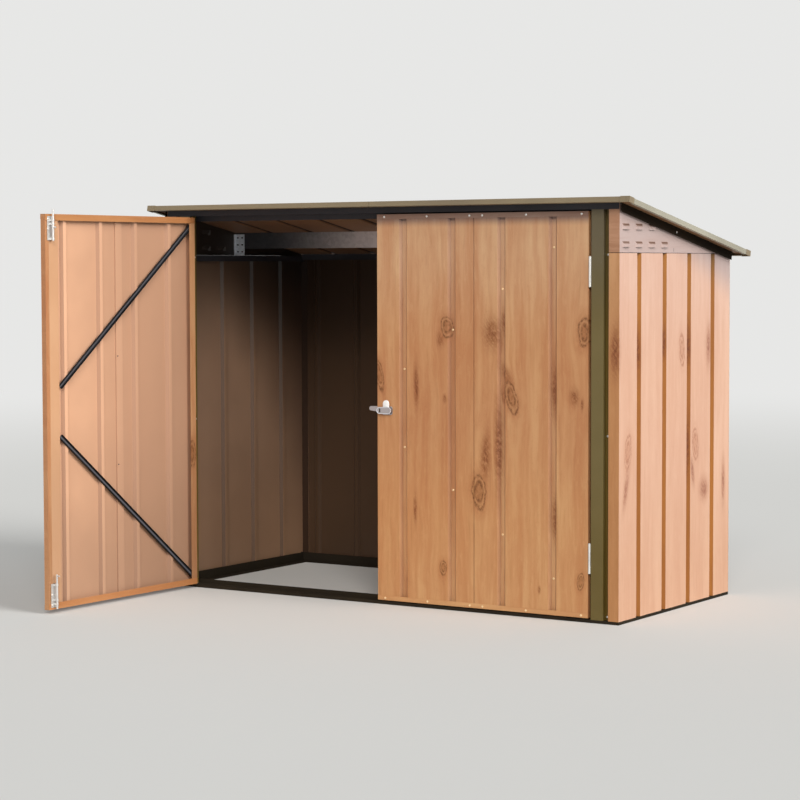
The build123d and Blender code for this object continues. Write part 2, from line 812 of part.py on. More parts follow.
# Barrel bolts at the top and bottom of the left leaf's free edge
leaf = leaf_planes["left"]
bolt_plate_v = leaf_depth + seat
strap_radius = rod_radius + running_clearance + strap_gauge
strap_root = bolt_plate_v + frame_gauge / 2
bolt_plane = Plane(origin=leaf.origin, x_dir=leaf.x_dir, z_dir=leaf.y_dir)
with BuildPart() as bolt_plates:
    for end in (-1, 1):
        with BuildSketch(bolt_plane.offset(bolt_plate_v)):
            with Locations((bolt_u, -end * (half_leaf - bolt_plate_from_end - bolt_plate_height / 2))):
                Rectangle(bolt_plate_width, bolt_plate_height)
        extrude(amount=frame_gauge)
        for from_end in straps_from_end:
            with BuildSketch(leaf.offset(end * (half_leaf - from_end) - strap_height / 2)):
                with Locations((bolt_u, (strap_root + rod_v) / 2)):
                    Rectangle(2 * strap_radius, rod_v - strap_root)
                with Locations((bolt_u, rod_v)):
                    Circle(strap_radius)
                    Circle(rod_radius + running_clearance, mode=Mode.SUBTRACT)
            extrude(amount=strap_height)
save(bolt_plates, "left_door_bolt_plates")

for name, end, tip, length, knob in (
    ("bolt_rod_upper", 1, half_leaf + upper_rod_beyond_leaf, upper_rod_length, upper_knob_from_tip),
    ("bolt_rod_lower", -1, half_leaf - lower_rod_inside_leaf, lower_rod_length, lower_knob_from_tip),
):
    with BuildPart() as bolt_rod:
        with BuildSketch(leaf.offset(end * (tip - length))):
            with Locations((bolt_u, rod_v)):
                Circle(rod_radius)
        extrude(amount=end * length)
        with BuildSketch(bolt_plane.offset(rod_v)):
            with Locations((bolt_u, -end * (tip - knob))):
                Circle(rod_knob_radius)
        extrude(amount=rod_knob_length)
    save(bolt_rod, name)

# Turn latch of the right leaf: plate, lever with its spindle, thumb tab and inner cam
leaf = leaf_planes["right"]
latch_u = pin_to_edge + leaf_widths["right"] - latch_from_free
latch_plane = Plane(
    origin=leaf.from_local_coords(Vector(latch_u, 0.0, latch_below_middle)),
    x_dir=(1.0, 0.0, 0.0),
    z_dir=(0.0, -1.0, 0.0),
)
plate_back = seat - face_v
boss_top = plate_back + frame_gauge + latch_boss_height
lever_base = boss_top + seat
cam_back = leaf_depth + cam_clear_of_leaf + cam_gauge
with BuildPart() as latch_plate:
    with BuildSketch(latch_plane.offset(plate_back)):
        RectangleRounded(latch_plate_width, latch_plate_height, latch_plate_height / 4)
    extrude(amount=frame_gauge)
    with BuildSketch(latch_plane.offset(plate_back)):
        Circle(latch_boss_radius)
    extrude(amount=boss_top - plate_back)
    with BuildSketch(latch_plane.offset(plate_back)):
        Circle(spindle_radius + spindle_clearance)
    extrude(amount=boss_top - plate_back, mode=Mode.SUBTRACT)
save(latch_plate, "latch_plate")

with BuildPart() as latch_lever:
    with BuildSketch(latch_plane.offset(lever_base)):
        with Locations(((lever_right - lever_left) / 2, 0.0)):
            SlotOverall(lever_left + lever_right, lever_height)
    extrude(amount=lever_gauge)
    with BuildSketch(latch_plane.offset(lever_base)):
        Circle(spindle_radius)
    extrude(amount=-(lever_base + leaf_depth + cam_clear_of_leaf))
save(latch_lever, "latch_lever")

thumb_low = lever_height / 2 + seat
with BuildPart() as latch_thumb:
    with BuildSketch(latch_plane.offset(lever_base)):
        with Locations((0.0, thumb_low + (thumb_height - thumb_width / 2) / 2)):
            Rectangle(thumb_width, thumb_height - thumb_width / 2)
        with Locations((0.0, thumb_low + thumb_height - thumb_width / 2)):
            Circle(thumb_width / 2)
        with Locations((0.0, thumb_low - lever_height)):
            Rectangle(2 * thumb_width, 2 * lever_height, mode=Mode.SUBTRACT)
    extrude(amount=thumb_gauge)
save(latch_thumb, "latch_thumb")

with BuildPart() as latch_cam:
    with BuildSketch(latch_plane.offset(-cam_back)):
        with BuildLine():
            Polyline(
                (-cam_reach + cam_tip / 2, cam_root / 2),
                (cam_heel, cam_root / 2),
                (cam_heel, -cam_root / 2),
                (0.0, -cam_root / 2),
                (-cam_reach + cam_tip / 2, cam_root / 2 - cam_tip),
            )
            ThreePointArc(
                (-cam_reach + cam_tip / 2, cam_root / 2 - cam_tip),
                (-cam_reach, cam_root / 2 - cam_tip / 2),
                (-cam_reach + cam_tip / 2, cam_root / 2),
            )
        make_face()
    extrude(amount=cam_gauge)
save(latch_cam, "latch_cam")
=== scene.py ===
"""Looks of a sheet-steel bike store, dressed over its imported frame.

Lengths are in metres in the frame's own axes: X to the right seen from the doors, Y to the back
and Z up. The left door stands open at rest and the right one is shut.
"""

from __future__ import annotations

import json
import logging
import random
from collections.abc import Callable, Iterable, Mapping, Sequence
from dataclasses import dataclass, field, replace
from enum import Enum
from math import atan, cos, pi, radians, sin

import bmesh
import bpy
from mathutils import Matrix, Vector

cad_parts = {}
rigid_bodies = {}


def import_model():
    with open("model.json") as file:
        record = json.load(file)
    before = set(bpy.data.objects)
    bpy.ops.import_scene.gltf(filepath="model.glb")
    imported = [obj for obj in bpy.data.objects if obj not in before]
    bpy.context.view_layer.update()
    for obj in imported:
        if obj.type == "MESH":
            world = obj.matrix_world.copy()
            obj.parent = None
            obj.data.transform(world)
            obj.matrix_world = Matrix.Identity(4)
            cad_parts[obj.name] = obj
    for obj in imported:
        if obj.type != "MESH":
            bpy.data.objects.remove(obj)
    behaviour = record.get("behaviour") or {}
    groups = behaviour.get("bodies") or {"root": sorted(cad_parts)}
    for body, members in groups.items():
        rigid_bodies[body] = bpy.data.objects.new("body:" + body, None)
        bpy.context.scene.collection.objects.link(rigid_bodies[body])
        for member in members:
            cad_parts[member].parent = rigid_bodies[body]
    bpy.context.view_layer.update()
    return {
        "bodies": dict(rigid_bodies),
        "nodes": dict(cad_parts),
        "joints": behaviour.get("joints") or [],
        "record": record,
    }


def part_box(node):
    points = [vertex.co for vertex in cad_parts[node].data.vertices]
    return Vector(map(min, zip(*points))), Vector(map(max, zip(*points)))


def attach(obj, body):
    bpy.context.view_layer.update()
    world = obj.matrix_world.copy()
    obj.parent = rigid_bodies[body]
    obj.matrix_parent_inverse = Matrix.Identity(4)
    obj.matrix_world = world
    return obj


LOG = logging.getLogger("bike_store")
MM = 0.001
RIGHT = (1.0, 0.0, 0.0)
FORWARD = (0.0, -1.0, 0.0)
BACKWARD = (0.0, 1.0, 0.0)
UPRIGHT = (0.0, 0.0, 1.0)
UP = Vector(UPRIGHT)
BLACK = (0.0, 0.0, 0.0)
DUST = (0.62, 0.57, 0.48)
OPEN_ANGLE = radians(91.4)
ROOF_SLOPE = radians(10.37)
SHARP_ANGLE = radians(38.0)
RECESS = 1.1 * MM
ROOF_NORMAL = Vector((0.0, sin(ROOF_SLOPE), cos(ROOF_SLOPE)))

# The nodes that wear each plain coat
PLAIN_NODES = {
    "olive_enamel": ("door_post_left", "door_post_right"),
    "dark_enamel": ("header", "wall_top_rails", "wall_top_rail_back"),
    "eave_enamel": ("eave_rails",),
    "rail_enamel": ("base_rail_front", "base_rail_back", "base_rail_left", "base_rail_right"),
    "roof_enamel": ("roof_sheet_1", "roof_sheet_2", "roof_sheet_3", "roof_sheet_4"),
    "trim_enamel": ("roof_trim_front", "roof_trim_back", "roof_corner_caps"),
    "side_trim_enamel": ("roof_trims_side",),
    "galvanised_steel": ("purlin",),
    "bracket_zinc": ("purlin_brackets",),
    "hinge_zinc": ("post_hinge_leaves", "left_door_hinge_leaves", "right_door_hinge_leaves"),
    "bright_zinc": ("left_door_bolt_plates", "bolt_rod_upper", "bolt_rod_lower"),
    "latch_zinc": ("latch_plate", "latch_lever", "latch_cam"),
    "white_moulding": ("latch_thumb",),
}

Colour = tuple[float, float, float]
Direction = tuple[float, float, float]
Material = bpy.types.Material
Coats = Mapping[str, Material]
Ring = Sequence[bmesh.types.BMVert]
Outline = Sequence[tuple[float, float]]


def math_node(operation: str, reflected: bool = False) -> Callable[..., Value]:
    """Make a method that adds a Math node.

    Args:
        operation: The node's operation.
        reflected: Whether the value stands on the right of the other one.

    Returns:
        The method, which takes the other number or value where there is one.
    """

    def method(value: Value, other: Input = 0.0) -> Value:
        """Return the node's result."""
        first, second = (other, value) if reflected else (value, other)
        return value.nodes.node("ShaderNodeMath", {"operation": operation}, {0: first, 1: second})

    return method


class Value:
    """One output of a node tree, with the arithmetic that its formulas use."""

    __add__, __radd__ = math_node("ADD"), math_node("ADD", True)
    __sub__, __rsub__ = math_node("SUBTRACT"), math_node("SUBTRACT", True)
    __mul__, __rmul__ = math_node("MULTIPLY"), math_node("MULTIPLY", True)
    __lt__ = math_node("LESS_THAN")
    __abs__ = math_node("ABSOLUTE")
    exp = math_node("EXPONENT")
    lesser = math_node("MINIMUM")
    greater = math_node("MAXIMUM")

    def __init__(self, nodes: Nodes, socket: bpy.types.NodeSocket) -> None:
        """Keep the output and the tree that it belongs to."""
        self.nodes = nodes
        self.socket = socket

    def smooth(self, low: float, high: float) -> Value:
        """Return a soft step from 0 at low to 1 at high."""
        inputs = {"Value": self, "From Min": low, "From Max": high}
        return self.nodes.node("ShaderNodeMapRange", {"interpolation_type": "SMOOTHSTEP"}, inputs)


Input = Value | float | Sequence[float]


class Nodes:
    """A node tree that values are read from and fed to."""

    def __init__(self, tree: bpy.types.NodeTree) -> None:
        """Keep the tree."""
        self.tree = tree

    def node(
        self,
        kind: str,
        settings: Mapping[str, object] | None = None,
        inputs: Mapping[str | int, Input] | None = None,
        output: str | int = 0,
    ) -> Value:
        """Add a node.

        Args:
            kind: The node's type name.
            settings: The node's own settings, which are set first.
            inputs: A value or a link for each socket, by name or number.
            output: The output that is wanted.

        Returns:
            The wrapped output.
        """
        made = self.tree.nodes.new(kind)
        for name, value in (settings or {}).items():
            setattr(made, name, value)
        for key, value in (inputs or {}).items():
            self.feed(made.inputs[key], value)
        return Value(self, made.outputs[output])

    def feed(self, socket: bpy.types.NodeSocket, value: Input) -> None:
        """Link a value to a socket, or write it there when it is a plain number or colour.

        Args:
            socket: The socket to feed.
            value: What it is fed.
        """
        if isinstance(value, Value):
            self.tree.links.new(value.socket, socket)
        elif socket.type == "RGBA":
            socket.default_value = (*value, 1.0)
        else:
            socket.default_value = value


class Paint(Nodes):
    """The nodes of one material, with its Principled shader ready to be fed."""

    def __init__(self, name: str) -> None:
        """Start an empty material.

        Args:
            name: The material's name.
        """
        self.material = bpy.data.materials.new(name)
        self.material.use_nodes = True
        super().__init__(self.material.node_tree)
        self.shader = self.tree.nodes["Principled BSDF"]
        self.place = self.node("ShaderNodeTexCoord", output="Object")
        self.normal = self.node("ShaderNodeTexCoord", output="Normal")

    def set(self, **inputs: Input) -> None:
        """Feed the shader's sockets, named with underscores for spaces."""
        for name, value in inputs.items():
            self.feed(self.shader.inputs[name.replace("_", " ")], value)

    def vector(self, operation: str, first: Input, second: Input, output: int = 0) -> Value:
        """Return a Vector Math node's result."""
        return self.node("ShaderNodeVectorMath", {"operation": operation}, {0: first, 1: second}, output)

    def along(self, direction: Direction, source: Value | None = None) -> Value:
        """Return how far the shaded point, or another vector, lies along a direction."""
        return self.vector("DOT_PRODUCT", source or self.place, direction, output=1)

    def length(self, vector: Value) -> Value:
        """Return a vector's length."""
        return self.node("ShaderNodeVectorMath", {"operation": "LENGTH"}, {0: vector}, output=1)

    def join(self, x: Input, y: Input, z: Input = 0.0) -> Value:
        """Return a vector of three values."""
        return self.node("ShaderNodeCombineXYZ", inputs={0: x, 1: y, 2: z})

    def part(self, vector: Value, axis: str) -> Value:
        """Return one component of a vector."""
        return self.node("ShaderNodeSeparateXYZ", inputs={0: vector}, output=axis)

    def noise(self, where: Input, scale: float, detail: float = 3.0, roughness: float = 0.55) -> Value:
        """Return fractal noise between 0 and 1, mostly near one half."""
        inputs = {"Vector": where, "Scale": scale, "Detail": detail, "Roughness": roughness}
        return self.node("ShaderNodeTexNoise", inputs=inputs)

    def mix(self, factor: Input, first: Input, second: Input, blend: str = "MIX") -> Value:
        """Return two colours mixed by a factor."""
        settings = {"data_type": "RGBA", "blend_type": blend, "clamp_factor": True}
        return self.node("ShaderNodeMix", settings, {0: factor, 6: first, 7: second}, output=2)

    def layers(self, colour: Input, *coats: tuple[Input, Input]) -> Input:
        """Lay further colours over a colour, one after another.

        Args:
            colour: The colour at the bottom.
            coats: The share and the colour of each.

        Returns:
            The colour on top.
        """
        for share, coat in coats:
            colour = self.mix(share, colour, coat)
        return colour

    def bump(self, height: Input, strength: float, distance: float) -> Value:
        """Return a normal that is bent by a height."""
        return self.node("ShaderNodeBump", inputs={"Height": height, "Strength": strength, "Distance": distance})


class Hand(Enum):
    """Which door leaf, seen from outside."""

    LEFT = "left"
    RIGHT = "right"


@dataclass(frozen=True)
class Drift:
    """A painted tint of light or shade that grows along a direction from start to end, in metres.

    Only faces that look the facing way take it, or all of them where there is none.
    """

    direction: Direction
    start: float
    end: float
    tint: Colour
    facing: Direction | None = None

    def over(self, paint: Paint, colour: Value) -> Value:
        """Lay the tint over a colour.

        Args:
            paint: The nodes that the colour belongs to.
            colour: The colour below it.

        Returns:
            The tinted colour.
        """
        share = paint.along(self.direction).smooth(self.start, self.end)
        if self.facing is not None:
            share = share * paint.along(self.facing, paint.normal).smooth(0.0, 0.3)
        return paint.mix(share, colour, self.tint, "MULTIPLY")


@dataclass(frozen=True)
class CreaseHighlight:
    """The pressed middle line of a pair of braces that mirror each other, where a painted highlight runs.

    A brace begins at start along its run, at a height above or below the middle, and slopes to it.
    """

    middle: float
    run: Direction
    start: float
    height: float
    slope: float

    def share(self, paint: Paint) -> Value:
        """Work out how near a point is to the middle line.

        Args:
            paint: The nodes to work with.

        Returns:
            1 on the line and 0 near the brace's edges.
        """
        angle = atan(self.slope)
        rise = abs(paint.along(UPRIGHT) - self.middle) - self.height
        aside = rise * cos(angle) + (paint.along(self.run) - self.start) * sin(angle)
        return 1.0 - abs(aside).smooth(1.5 * MM, 4.5 * MM)


@dataclass(frozen=True)
class Knot:
    """One printed knot, in millimetres: where it is across and up the sheet, and its half sizes.

    A stain is a reddish blotch with no ring. The lean is in degrees, top to the left.
    """

    across: float
    up: float
    wide: float
    tall: float
    stain: bool = False
    lean: float = 0.0


def knot_table(*rows: Sequence[float]) -> tuple[Knot, ...]:
    """Return knots from rows of numbers in the order of a knot's fields."""
    return tuple(Knot(*row) for row in rows)


@dataclass(frozen=True)
class PrintPalette:
    """The colours of one printed face."""

    light: Colour = (0.57, 0.3, 0.135)
    warm: Colour = (0.43, 0.165, 0.062)
    streak: Colour = (0.3, 0.115, 0.038)
    knot: Colour = (0.15, 0.05, 0.013)
    stain: Colour = (0.6, 0.45, 0.34)
    # Painted shade multiplied into the ribs' grooves.
    groove_shade: Colour = (0.95, 0.96, 1.02)
    back: Colour = (0.68, 0.385, 0.235)
    shade: Colour = (0.4, 0.22, 0.135)
    # Painted highlight on the ribs' crowns, on the sheet's back.
    crown_highlight: Colour = (1.16, 1.18, 1.2)
    # Painted shade on both slanting sides of each rib, on the sheet's back.
    both_flanks_shade: Colour = (1.0, 1.0, 1.0)


@dataclass(frozen=True)
class WoodPrint:
    """A pine print baked onto sheet steel, with a plain coat on the sheet's back.

    Attributes:
        across: The direction across the grain.
        outward: The direction that the printed face looks in.
        level: How far along outward the printed face lies, in metres.
        seed: What sets this sheet's print apart from another's.
        fold_depth: How far behind the face the plain back shows, before a fold turns the print inward.
        flank_shade: The colours of the ribs' slanting sides, where they differ: a darker copy of the print, as
            painted shade.
        edge: The colours of the edges folded square, where they differ.
        edge_before: Only edges before this distance along Y wear the edge's colours.
        rear: The colours of all that doesn't look outward, where they differ.
        lid_shade: The colour of a louvre's upper edge, a painted shade.
        returns: Whether the insides of the edges folded square show the plain back.
        fade: Where along the across direction the plain back turns to its shade, a painted shade, if it does.
    """

    name: str
    across: Direction
    outward: Direction
    level: float
    palette: PrintPalette = PrintPalette()
    knots: tuple[Knot, ...] = ()
    grain: Direction = UPRIGHT
    seed: float = 0.0
    fold_depth: float = 0.02
    flank_shade: PrintPalette | None = None
    edge: PrintPalette | None = None
    edge_before: float | None = None
    rear: PrintPalette | None = None
    lid_shade: Colour | None = None
    returns: bool = False
    fade: tuple[float, float] | None = None
    drifts: tuple[Drift, ...] = ()

    def make(self) -> Material:
        """Make the material.

        Returns:
            The finished material.
        """
        paint = Paint(self.name)
        over = paint.along(self.across)
        up = paint.along(self.grain)
        spread, ring, stain = self._knots(paint, paint.join(over, up))
        line = over + spread + (paint.noise(paint.join(over * 2.0, up, self.seed), 2.2) - 0.5) * 0.05
        colour = self._boards(paint, self.palette, line, up)
        facing = paint.along(self.outward, paint.normal)
        square = 1.0 - abs(facing).smooth(0.2, 0.45)
        # The ribs' slanting sides take a darker copy of the print: painted shade.
        if self.flank_shade is not None:
            slanting = 1.0 - abs(facing).smooth(0.8, 0.95) - square
            colour = paint.mix(slanting, colour, self._boards(paint, self.flank_shade, line, up))
        if self.edge is not None:
            worn = square
            if self.edge_before is not None:
                worn = worn * (paint.along(BACKWARD) < self.edge_before)
            colour = paint.mix(worn, colour, self._boards(paint, self.edge, line, up))
        if self.rear is not None:
            colour = paint.mix(facing.smooth(0.5, 0.2), colour, self._boards(paint, self.rear, line, up))
        depth = self.level - paint.along(self.outward)
        # Painted shade on faces that look up near the face: the louvres' upper edges.
        if self.lid_shade is not None:
            looking_up = paint.along(UPRIGHT, paint.normal).smooth(0.1, 0.5)
            colour = paint.mix(looking_up * depth.smooth(-6.0 * MM, -2.0 * MM), colour, self.lid_shade)
        ragged = paint.noise(paint.join(over, up * 0.6, self.seed + 17.0), 95.0, 5.0, 0.78)
        if stain is not None:
            colour = self._stains(paint, colour, stain, ragged)
        if ring is not None:
            colour = self._rings(paint, colour, ring, ragged)
        # Painted shade in the ribs' grooves.
        hollow = depth.smooth(1.0 * MM, 10.0 * MM)
        colour = paint.mix(hollow, colour, paint.mix(1.0, colour, self.palette.groove_shade, "MULTIPLY"))
        behind = (facing < -0.3) * (depth < self.fold_depth)
        if self.returns:
            inside = paint.part(paint.normal, "Y") * paint.part(paint.place, "Y") < -0.3
            behind = behind + square * inside
        colour = paint.mix(behind, colour, self._back(paint, over, hollow))
        # Painted light and shade laid over the print.
        for drift in self.drifts:
            colour = drift.over(paint, colour)
        self._surface(paint, colour)
        return paint.material

    def _knots(self, paint: Paint, flat: Value) -> tuple[Input, Value | None, Value | None]:
        """Work out what the knots do to the print.

        Args:
            paint: The nodes to work with.
            flat: The shaded point across and up the sheet.

        Returns:
            How far they push the grain aside, and the distance in radii of the nearest ring and stain.
        """
        spread: Input = 0.0
        nearest: dict[bool, Value | None] = {False: None, True: None}
        for knot in self.knots:
            lean = radians(knot.lean)
            offset = paint.vector("SUBTRACT", flat, (knot.across * MM, knot.up * MM, 0.0))
            wide, tall = 1000.0 / knot.wide, 1000.0 / knot.tall
            aside = paint.along((cos(lean) * wide, sin(lean) * wide, 0.0), offset)
            above = paint.along((-sin(lean) * tall, cos(lean) * tall, 0.0), offset)
            reach = paint.length(paint.join(aside, above))
            fade = (reach * reach * -0.28).exp()
            spread = fade * aside * (-0.55 * knot.wide * MM) + spread
            before = nearest[knot.stain]
            nearest[knot.stain] = reach if before is None else before.lesser(reach)
        return spread, nearest[False], nearest[True]

    def _boards(self, paint: Paint, palette: PrintPalette, line: Value, up: Value) -> Value:
        """Print the boards without their knots.

        Args:
            paint: The nodes to work with.
            palette: The print's colours.
            line: The distance across the grain, bent around the knots.
            up: The distance along the grain.

        Returns:
            The boards' colour.
        """
        bands = paint.noise(paint.join(line, up * 0.06, self.seed), 19.0, 2.0, 0.65).smooth(0.37, 0.63)
        fibre = paint.noise(paint.join(line, up * 0.05, self.seed + 3.0), 85.0, 5.0, 0.66)
        fine = paint.noise(paint.join(line, up * 0.11, self.seed + 7.0), 330.0, 3.0, 0.65)
        blotch = paint.noise(paint.join(line * 2.2, up * 0.9, self.seed + 11.0), 5.0, 3.0).smooth(0.45, 0.75)
        worn = paint.noise(paint.join(line * 2.4, up * 0.5, self.seed + 13.0), 24.0, 6.0, 0.7)
        sawn = paint.noise(paint.join(line, up * 0.4, self.seed + 19.0), 210.0, 3.0, 0.7)
        wide = paint.noise(paint.join(line, up * 0.12, self.seed + 23.0), 6.0, 2.0, 0.6).smooth(0.35, 0.65)
        return paint.layers(
            palette.light,
            (wide * 0.6, palette.warm),
            (bands * 0.6, palette.warm),
            (blotch * 0.3, palette.warm),
            (worn.smooth(0.5, 0.72) * 0.35, palette.warm),
            (worn.smooth(0.5, 0.3) * 0.4, palette.light),
            (fibre.smooth(0.52, 0.76) * 0.3, palette.streak),
            (fibre.smooth(0.5, 0.28) * 0.4, palette.light),
            (sawn.smooth(0.55, 0.72) * (0.1 + blotch * 0.35), palette.streak),
            (fine.smooth(0.55, 0.8) * 0.16, palette.streak),
        )

    def _stains(self, paint: Paint, colour: Value, nearest: Value, ragged: Value) -> Value:
        """Print the reddish blotches with their dark flecks.

        Args:
            paint: The nodes to work with.
            colour: The boards' colour.
            nearest: The distance to the nearest one, in radii.
            ragged: The noise that frays its edge.

        Returns:
            The colour with its blotches.
        """
        up = paint.along(self.grain)
        over = paint.along(self.across)
        sawn = paint.join(up + over * 1.4, (over - up * 0.3) * 0.25, self.seed + 29.0)
        strokes = paint.noise(sawn, 80.0, 3.0, 0.7).smooth(0.44, 0.62)
        reach = nearest * 0.72 + (ragged - 0.5) * 1.3
        flecks = 0.25 + ragged.smooth(0.42, 0.56) * 0.5 + strokes * 0.25
        colour = paint.mix((1.0 - reach.smooth(0.3, 1.9)) * flecks, colour, self.palette.stain, "MULTIPLY")
        return paint.mix((1.0 - reach.smooth(0.2, 1.1)) * flecks, colour, self.palette.stain, "MULTIPLY")

    def _rings(self, paint: Paint, colour: Value, nearest: Value, ragged: Value) -> Value:
        """Print the rims and hearts of the knots.

        Args:
            paint: The nodes to work with.
            colour: The boards' colour.
            nearest: The distance to the nearest one, in radii.
            ragged: The noise that frays its edge.

        Returns:
            The colour with its knots.
        """
        swell = paint.noise(paint.place, 26.0, 1.0)
        reach = nearest + (swell - 0.5) * 0.55 + (ragged - 0.5) * 0.3
        rim = 1.0 - abs(reach - 1.0).smooth(0.02, 0.2)
        pale = 1.0 - abs(reach - 0.8).smooth(0.02, 0.14)
        inner = 1.0 - abs(reach - 0.55).smooth(0.04, 0.2)
        heart = 1.0 - reach.smooth(0.75, 1.0)
        smear = 1.0 - reach.smooth(0.8, 2.2)
        flecks = ragged.smooth(0.42, 0.58)
        palette = self.palette
        return paint.layers(
            colour,
            (smear * 0.55, palette.warm),
            (smear * flecks * 0.35, palette.streak),
            (heart * (0.45 + flecks * 0.4), palette.streak),
            (inner * (0.2 + flecks * 0.6), palette.knot),
            (pale * 0.3, palette.light),
            (rim * (0.25 + flecks * 0.65), palette.knot),
        )

    def _back(self, paint: Paint, over: Value, hollow: Value) -> Value:
        """Coat the sheet's back, paler on the ribs and darker on one side of each, as painted highlight and painted
        shade, with more painted shade where the palette and the fade ask for it.

        Args:
            paint: The nodes to work with.
            over: The distance across the grain.
            hollow: 1 in the ribs' grooves and 0 on the face.

        Returns:
            The coat's colour.
        """
        palette = self.palette
        cloud = paint.noise(paint.place, 2.4, 3.0)
        tone = paint.mix(cloud.smooth(0.35, 0.7) * 0.3, palette.back, palette.shade)
        if self.fade is not None:
            # Painted shade growing across the back, towards the hinge on the open leaf.
            tone = paint.mix(over.smooth(*self.fade) * 0.75, tone, palette.shade)
        sideways = Vector(self.grain).cross(Vector(self.outward)).normalized()
        lean = paint.along(tuple(sideways), paint.normal)
        shaded_flank = lean.smooth(0.25, 0.6)
        # Painted highlight on the ribs' crowns, away from the shaded side.
        tone = paint.mix(hollow * (1.0 - shaded_flank), tone, palette.crown_highlight, "MULTIPLY")
        # Painted shade on one side of each rib.
        tone = paint.mix(shaded_flank * 0.9, tone, palette.shade)
        # Painted shade on both sides of each rib.
        tone = paint.mix(abs(lean).smooth(0.25, 0.6), tone, palette.both_flanks_shade, "MULTIPLY")
        scuff = paint.noise(paint.place, 60.0, 6.0, 0.7).smooth(0.66, 0.8)
        return paint.mix(scuff * 0.3, tone, palette.shade)

    def _surface(self, paint: Paint, colour: Value) -> None:
        """Feed the shader with the colour, a satin gloss and the sheet's slight waves.

        Args:
            paint: The material's nodes.
            colour: The finished colour.
        """
        waves = paint.noise(paint.place, 3.5, 2.0)
        peel = paint.noise(paint.place, 520.0, 2.0)
        rough = 0.38 + paint.noise(paint.place, 26.0, 4.0) * 0.16
        paint.set(Base_Color=colour, Roughness=rough, Specular_IOR_Level=0.4)
        paint.set(Normal=paint.bump(waves * 2.2 + peel * 0.02, 0.35, 0.004))


@dataclass(frozen=True)
class Enamel:
    """A plain baked paint on steel that drifts to its shade, with faint dust, runs and speckle, and with painted
    light and shade from its drifts and crease.
    """

    name: str
    colour: Colour
    shade: Colour
    roughness: float = 0.42
    dusty: float = 0.08
    gloss: float = 0.4
    crease_highlight: CreaseHighlight | None = None
    drifts: tuple[Drift, ...] = ()

    def make(self) -> Material:
        """Make the material.

        Returns:
            The finished material.
        """
        paint = Paint(self.name)
        cloud = paint.noise(paint.place, 3.0, 4.0)
        runs = paint.noise(paint.vector("MULTIPLY", paint.place, (30.0, 30.0, 1.1)), 1.0, 5.0, 0.6)
        speck = paint.noise(paint.place, 170.0, 3.0, 0.7)
        colour = paint.layers(
            self.colour,
            (cloud.smooth(0.35, 0.7), self.shade),
            (runs.smooth(0.5, 0.8) * 0.3, self.shade),
            (speck.smooth(0.6, 0.78) * self.dusty, DUST),
        )
        # Painted highlight along the braces' pressed middle line.
        if self.crease_highlight is not None:
            colour = paint.mix(self.crease_highlight.share(paint), colour, tuple(6.0 * part for part in self.colour))
        for drift in self.drifts:
            colour = drift.over(paint, colour)
        paint.set(Base_Color=colour, Roughness=self.roughness + speck * 0.14, Specular_IOR_Level=self.gloss)
        waves = paint.noise(paint.place, 5.0, 2.0)
        paint.set(Normal=paint.bump(waves * 1.6 + speck * 0.03, 0.3, 0.003))
        return paint.material


@dataclass(frozen=True)
class ZincCoat:
    """Bare plated steel with fine scratches, and a spangle of so many cells a metre."""

    name: str
    colour: Colour
    spangle: float = 90.0
    contrast: float = 0.25
    roughness: float = 0.38
    metallic: float = 0.9
    drifts: tuple[Drift, ...] = ()

    def make(self) -> Material:
        """Make the material.

        Returns:
            The finished material.
        """
        paint = Paint(self.name)
        inputs = {"Vector": paint.place, "Scale": self.spangle}
        cells = paint.node("ShaderNodeTexVoronoi", inputs=inputs, output="Color")
        cell = paint.part(cells, "X")
        scratch = paint.noise(paint.vector("MULTIPLY", paint.place, (40.0, 40.0, 900.0)), 1.0, 4.0, 0.6)
        stain = paint.noise(paint.place, 14.0, 5.0, 0.65)
        dim = tuple(0.55 * part for part in self.colour)
        colour = paint.layers(
            self.colour,
            (cell * self.contrast, dim),
            (stain.smooth(0.5, 0.8) * 0.4, dim),
            (scratch.smooth(0.62, 0.75) * 0.3, (0.8, 0.8, 0.8)),
        )
        for drift in self.drifts:
            colour = drift.over(paint, colour)
        rough = self.roughness + cell * 0.1 + scratch * 0.1
        paint.set(Base_Color=colour, Roughness=rough, Metallic=self.metallic)
        paint.set(Normal=paint.bump(scratch * 0.4 + cell * 0.3, 0.25, 0.0004))
        return paint.material


@dataclass(frozen=True)
class Moulding:
    """A moulded glossy plastic with a faint grain."""

    name: str
    colour: Colour

    def make(self) -> Material:
        """Make the material.

        Returns:
            The finished material.
        """
        paint = Paint(self.name)
        grain = paint.noise(paint.place, 900.0, 3.0)
        dirt = paint.noise(paint.place, 55.0, 4.0, 0.65)
        colour = paint.mix(dirt.smooth(0.55, 0.8) * 0.3, self.colour, (0.45, 0.42, 0.38))
        paint.set(Base_Color=colour, Roughness=0.25 + grain * 0.12, Coat_Weight=0.2)
        paint.set(Normal=paint.bump(grain, 0.15, 0.0003))
        return paint.material


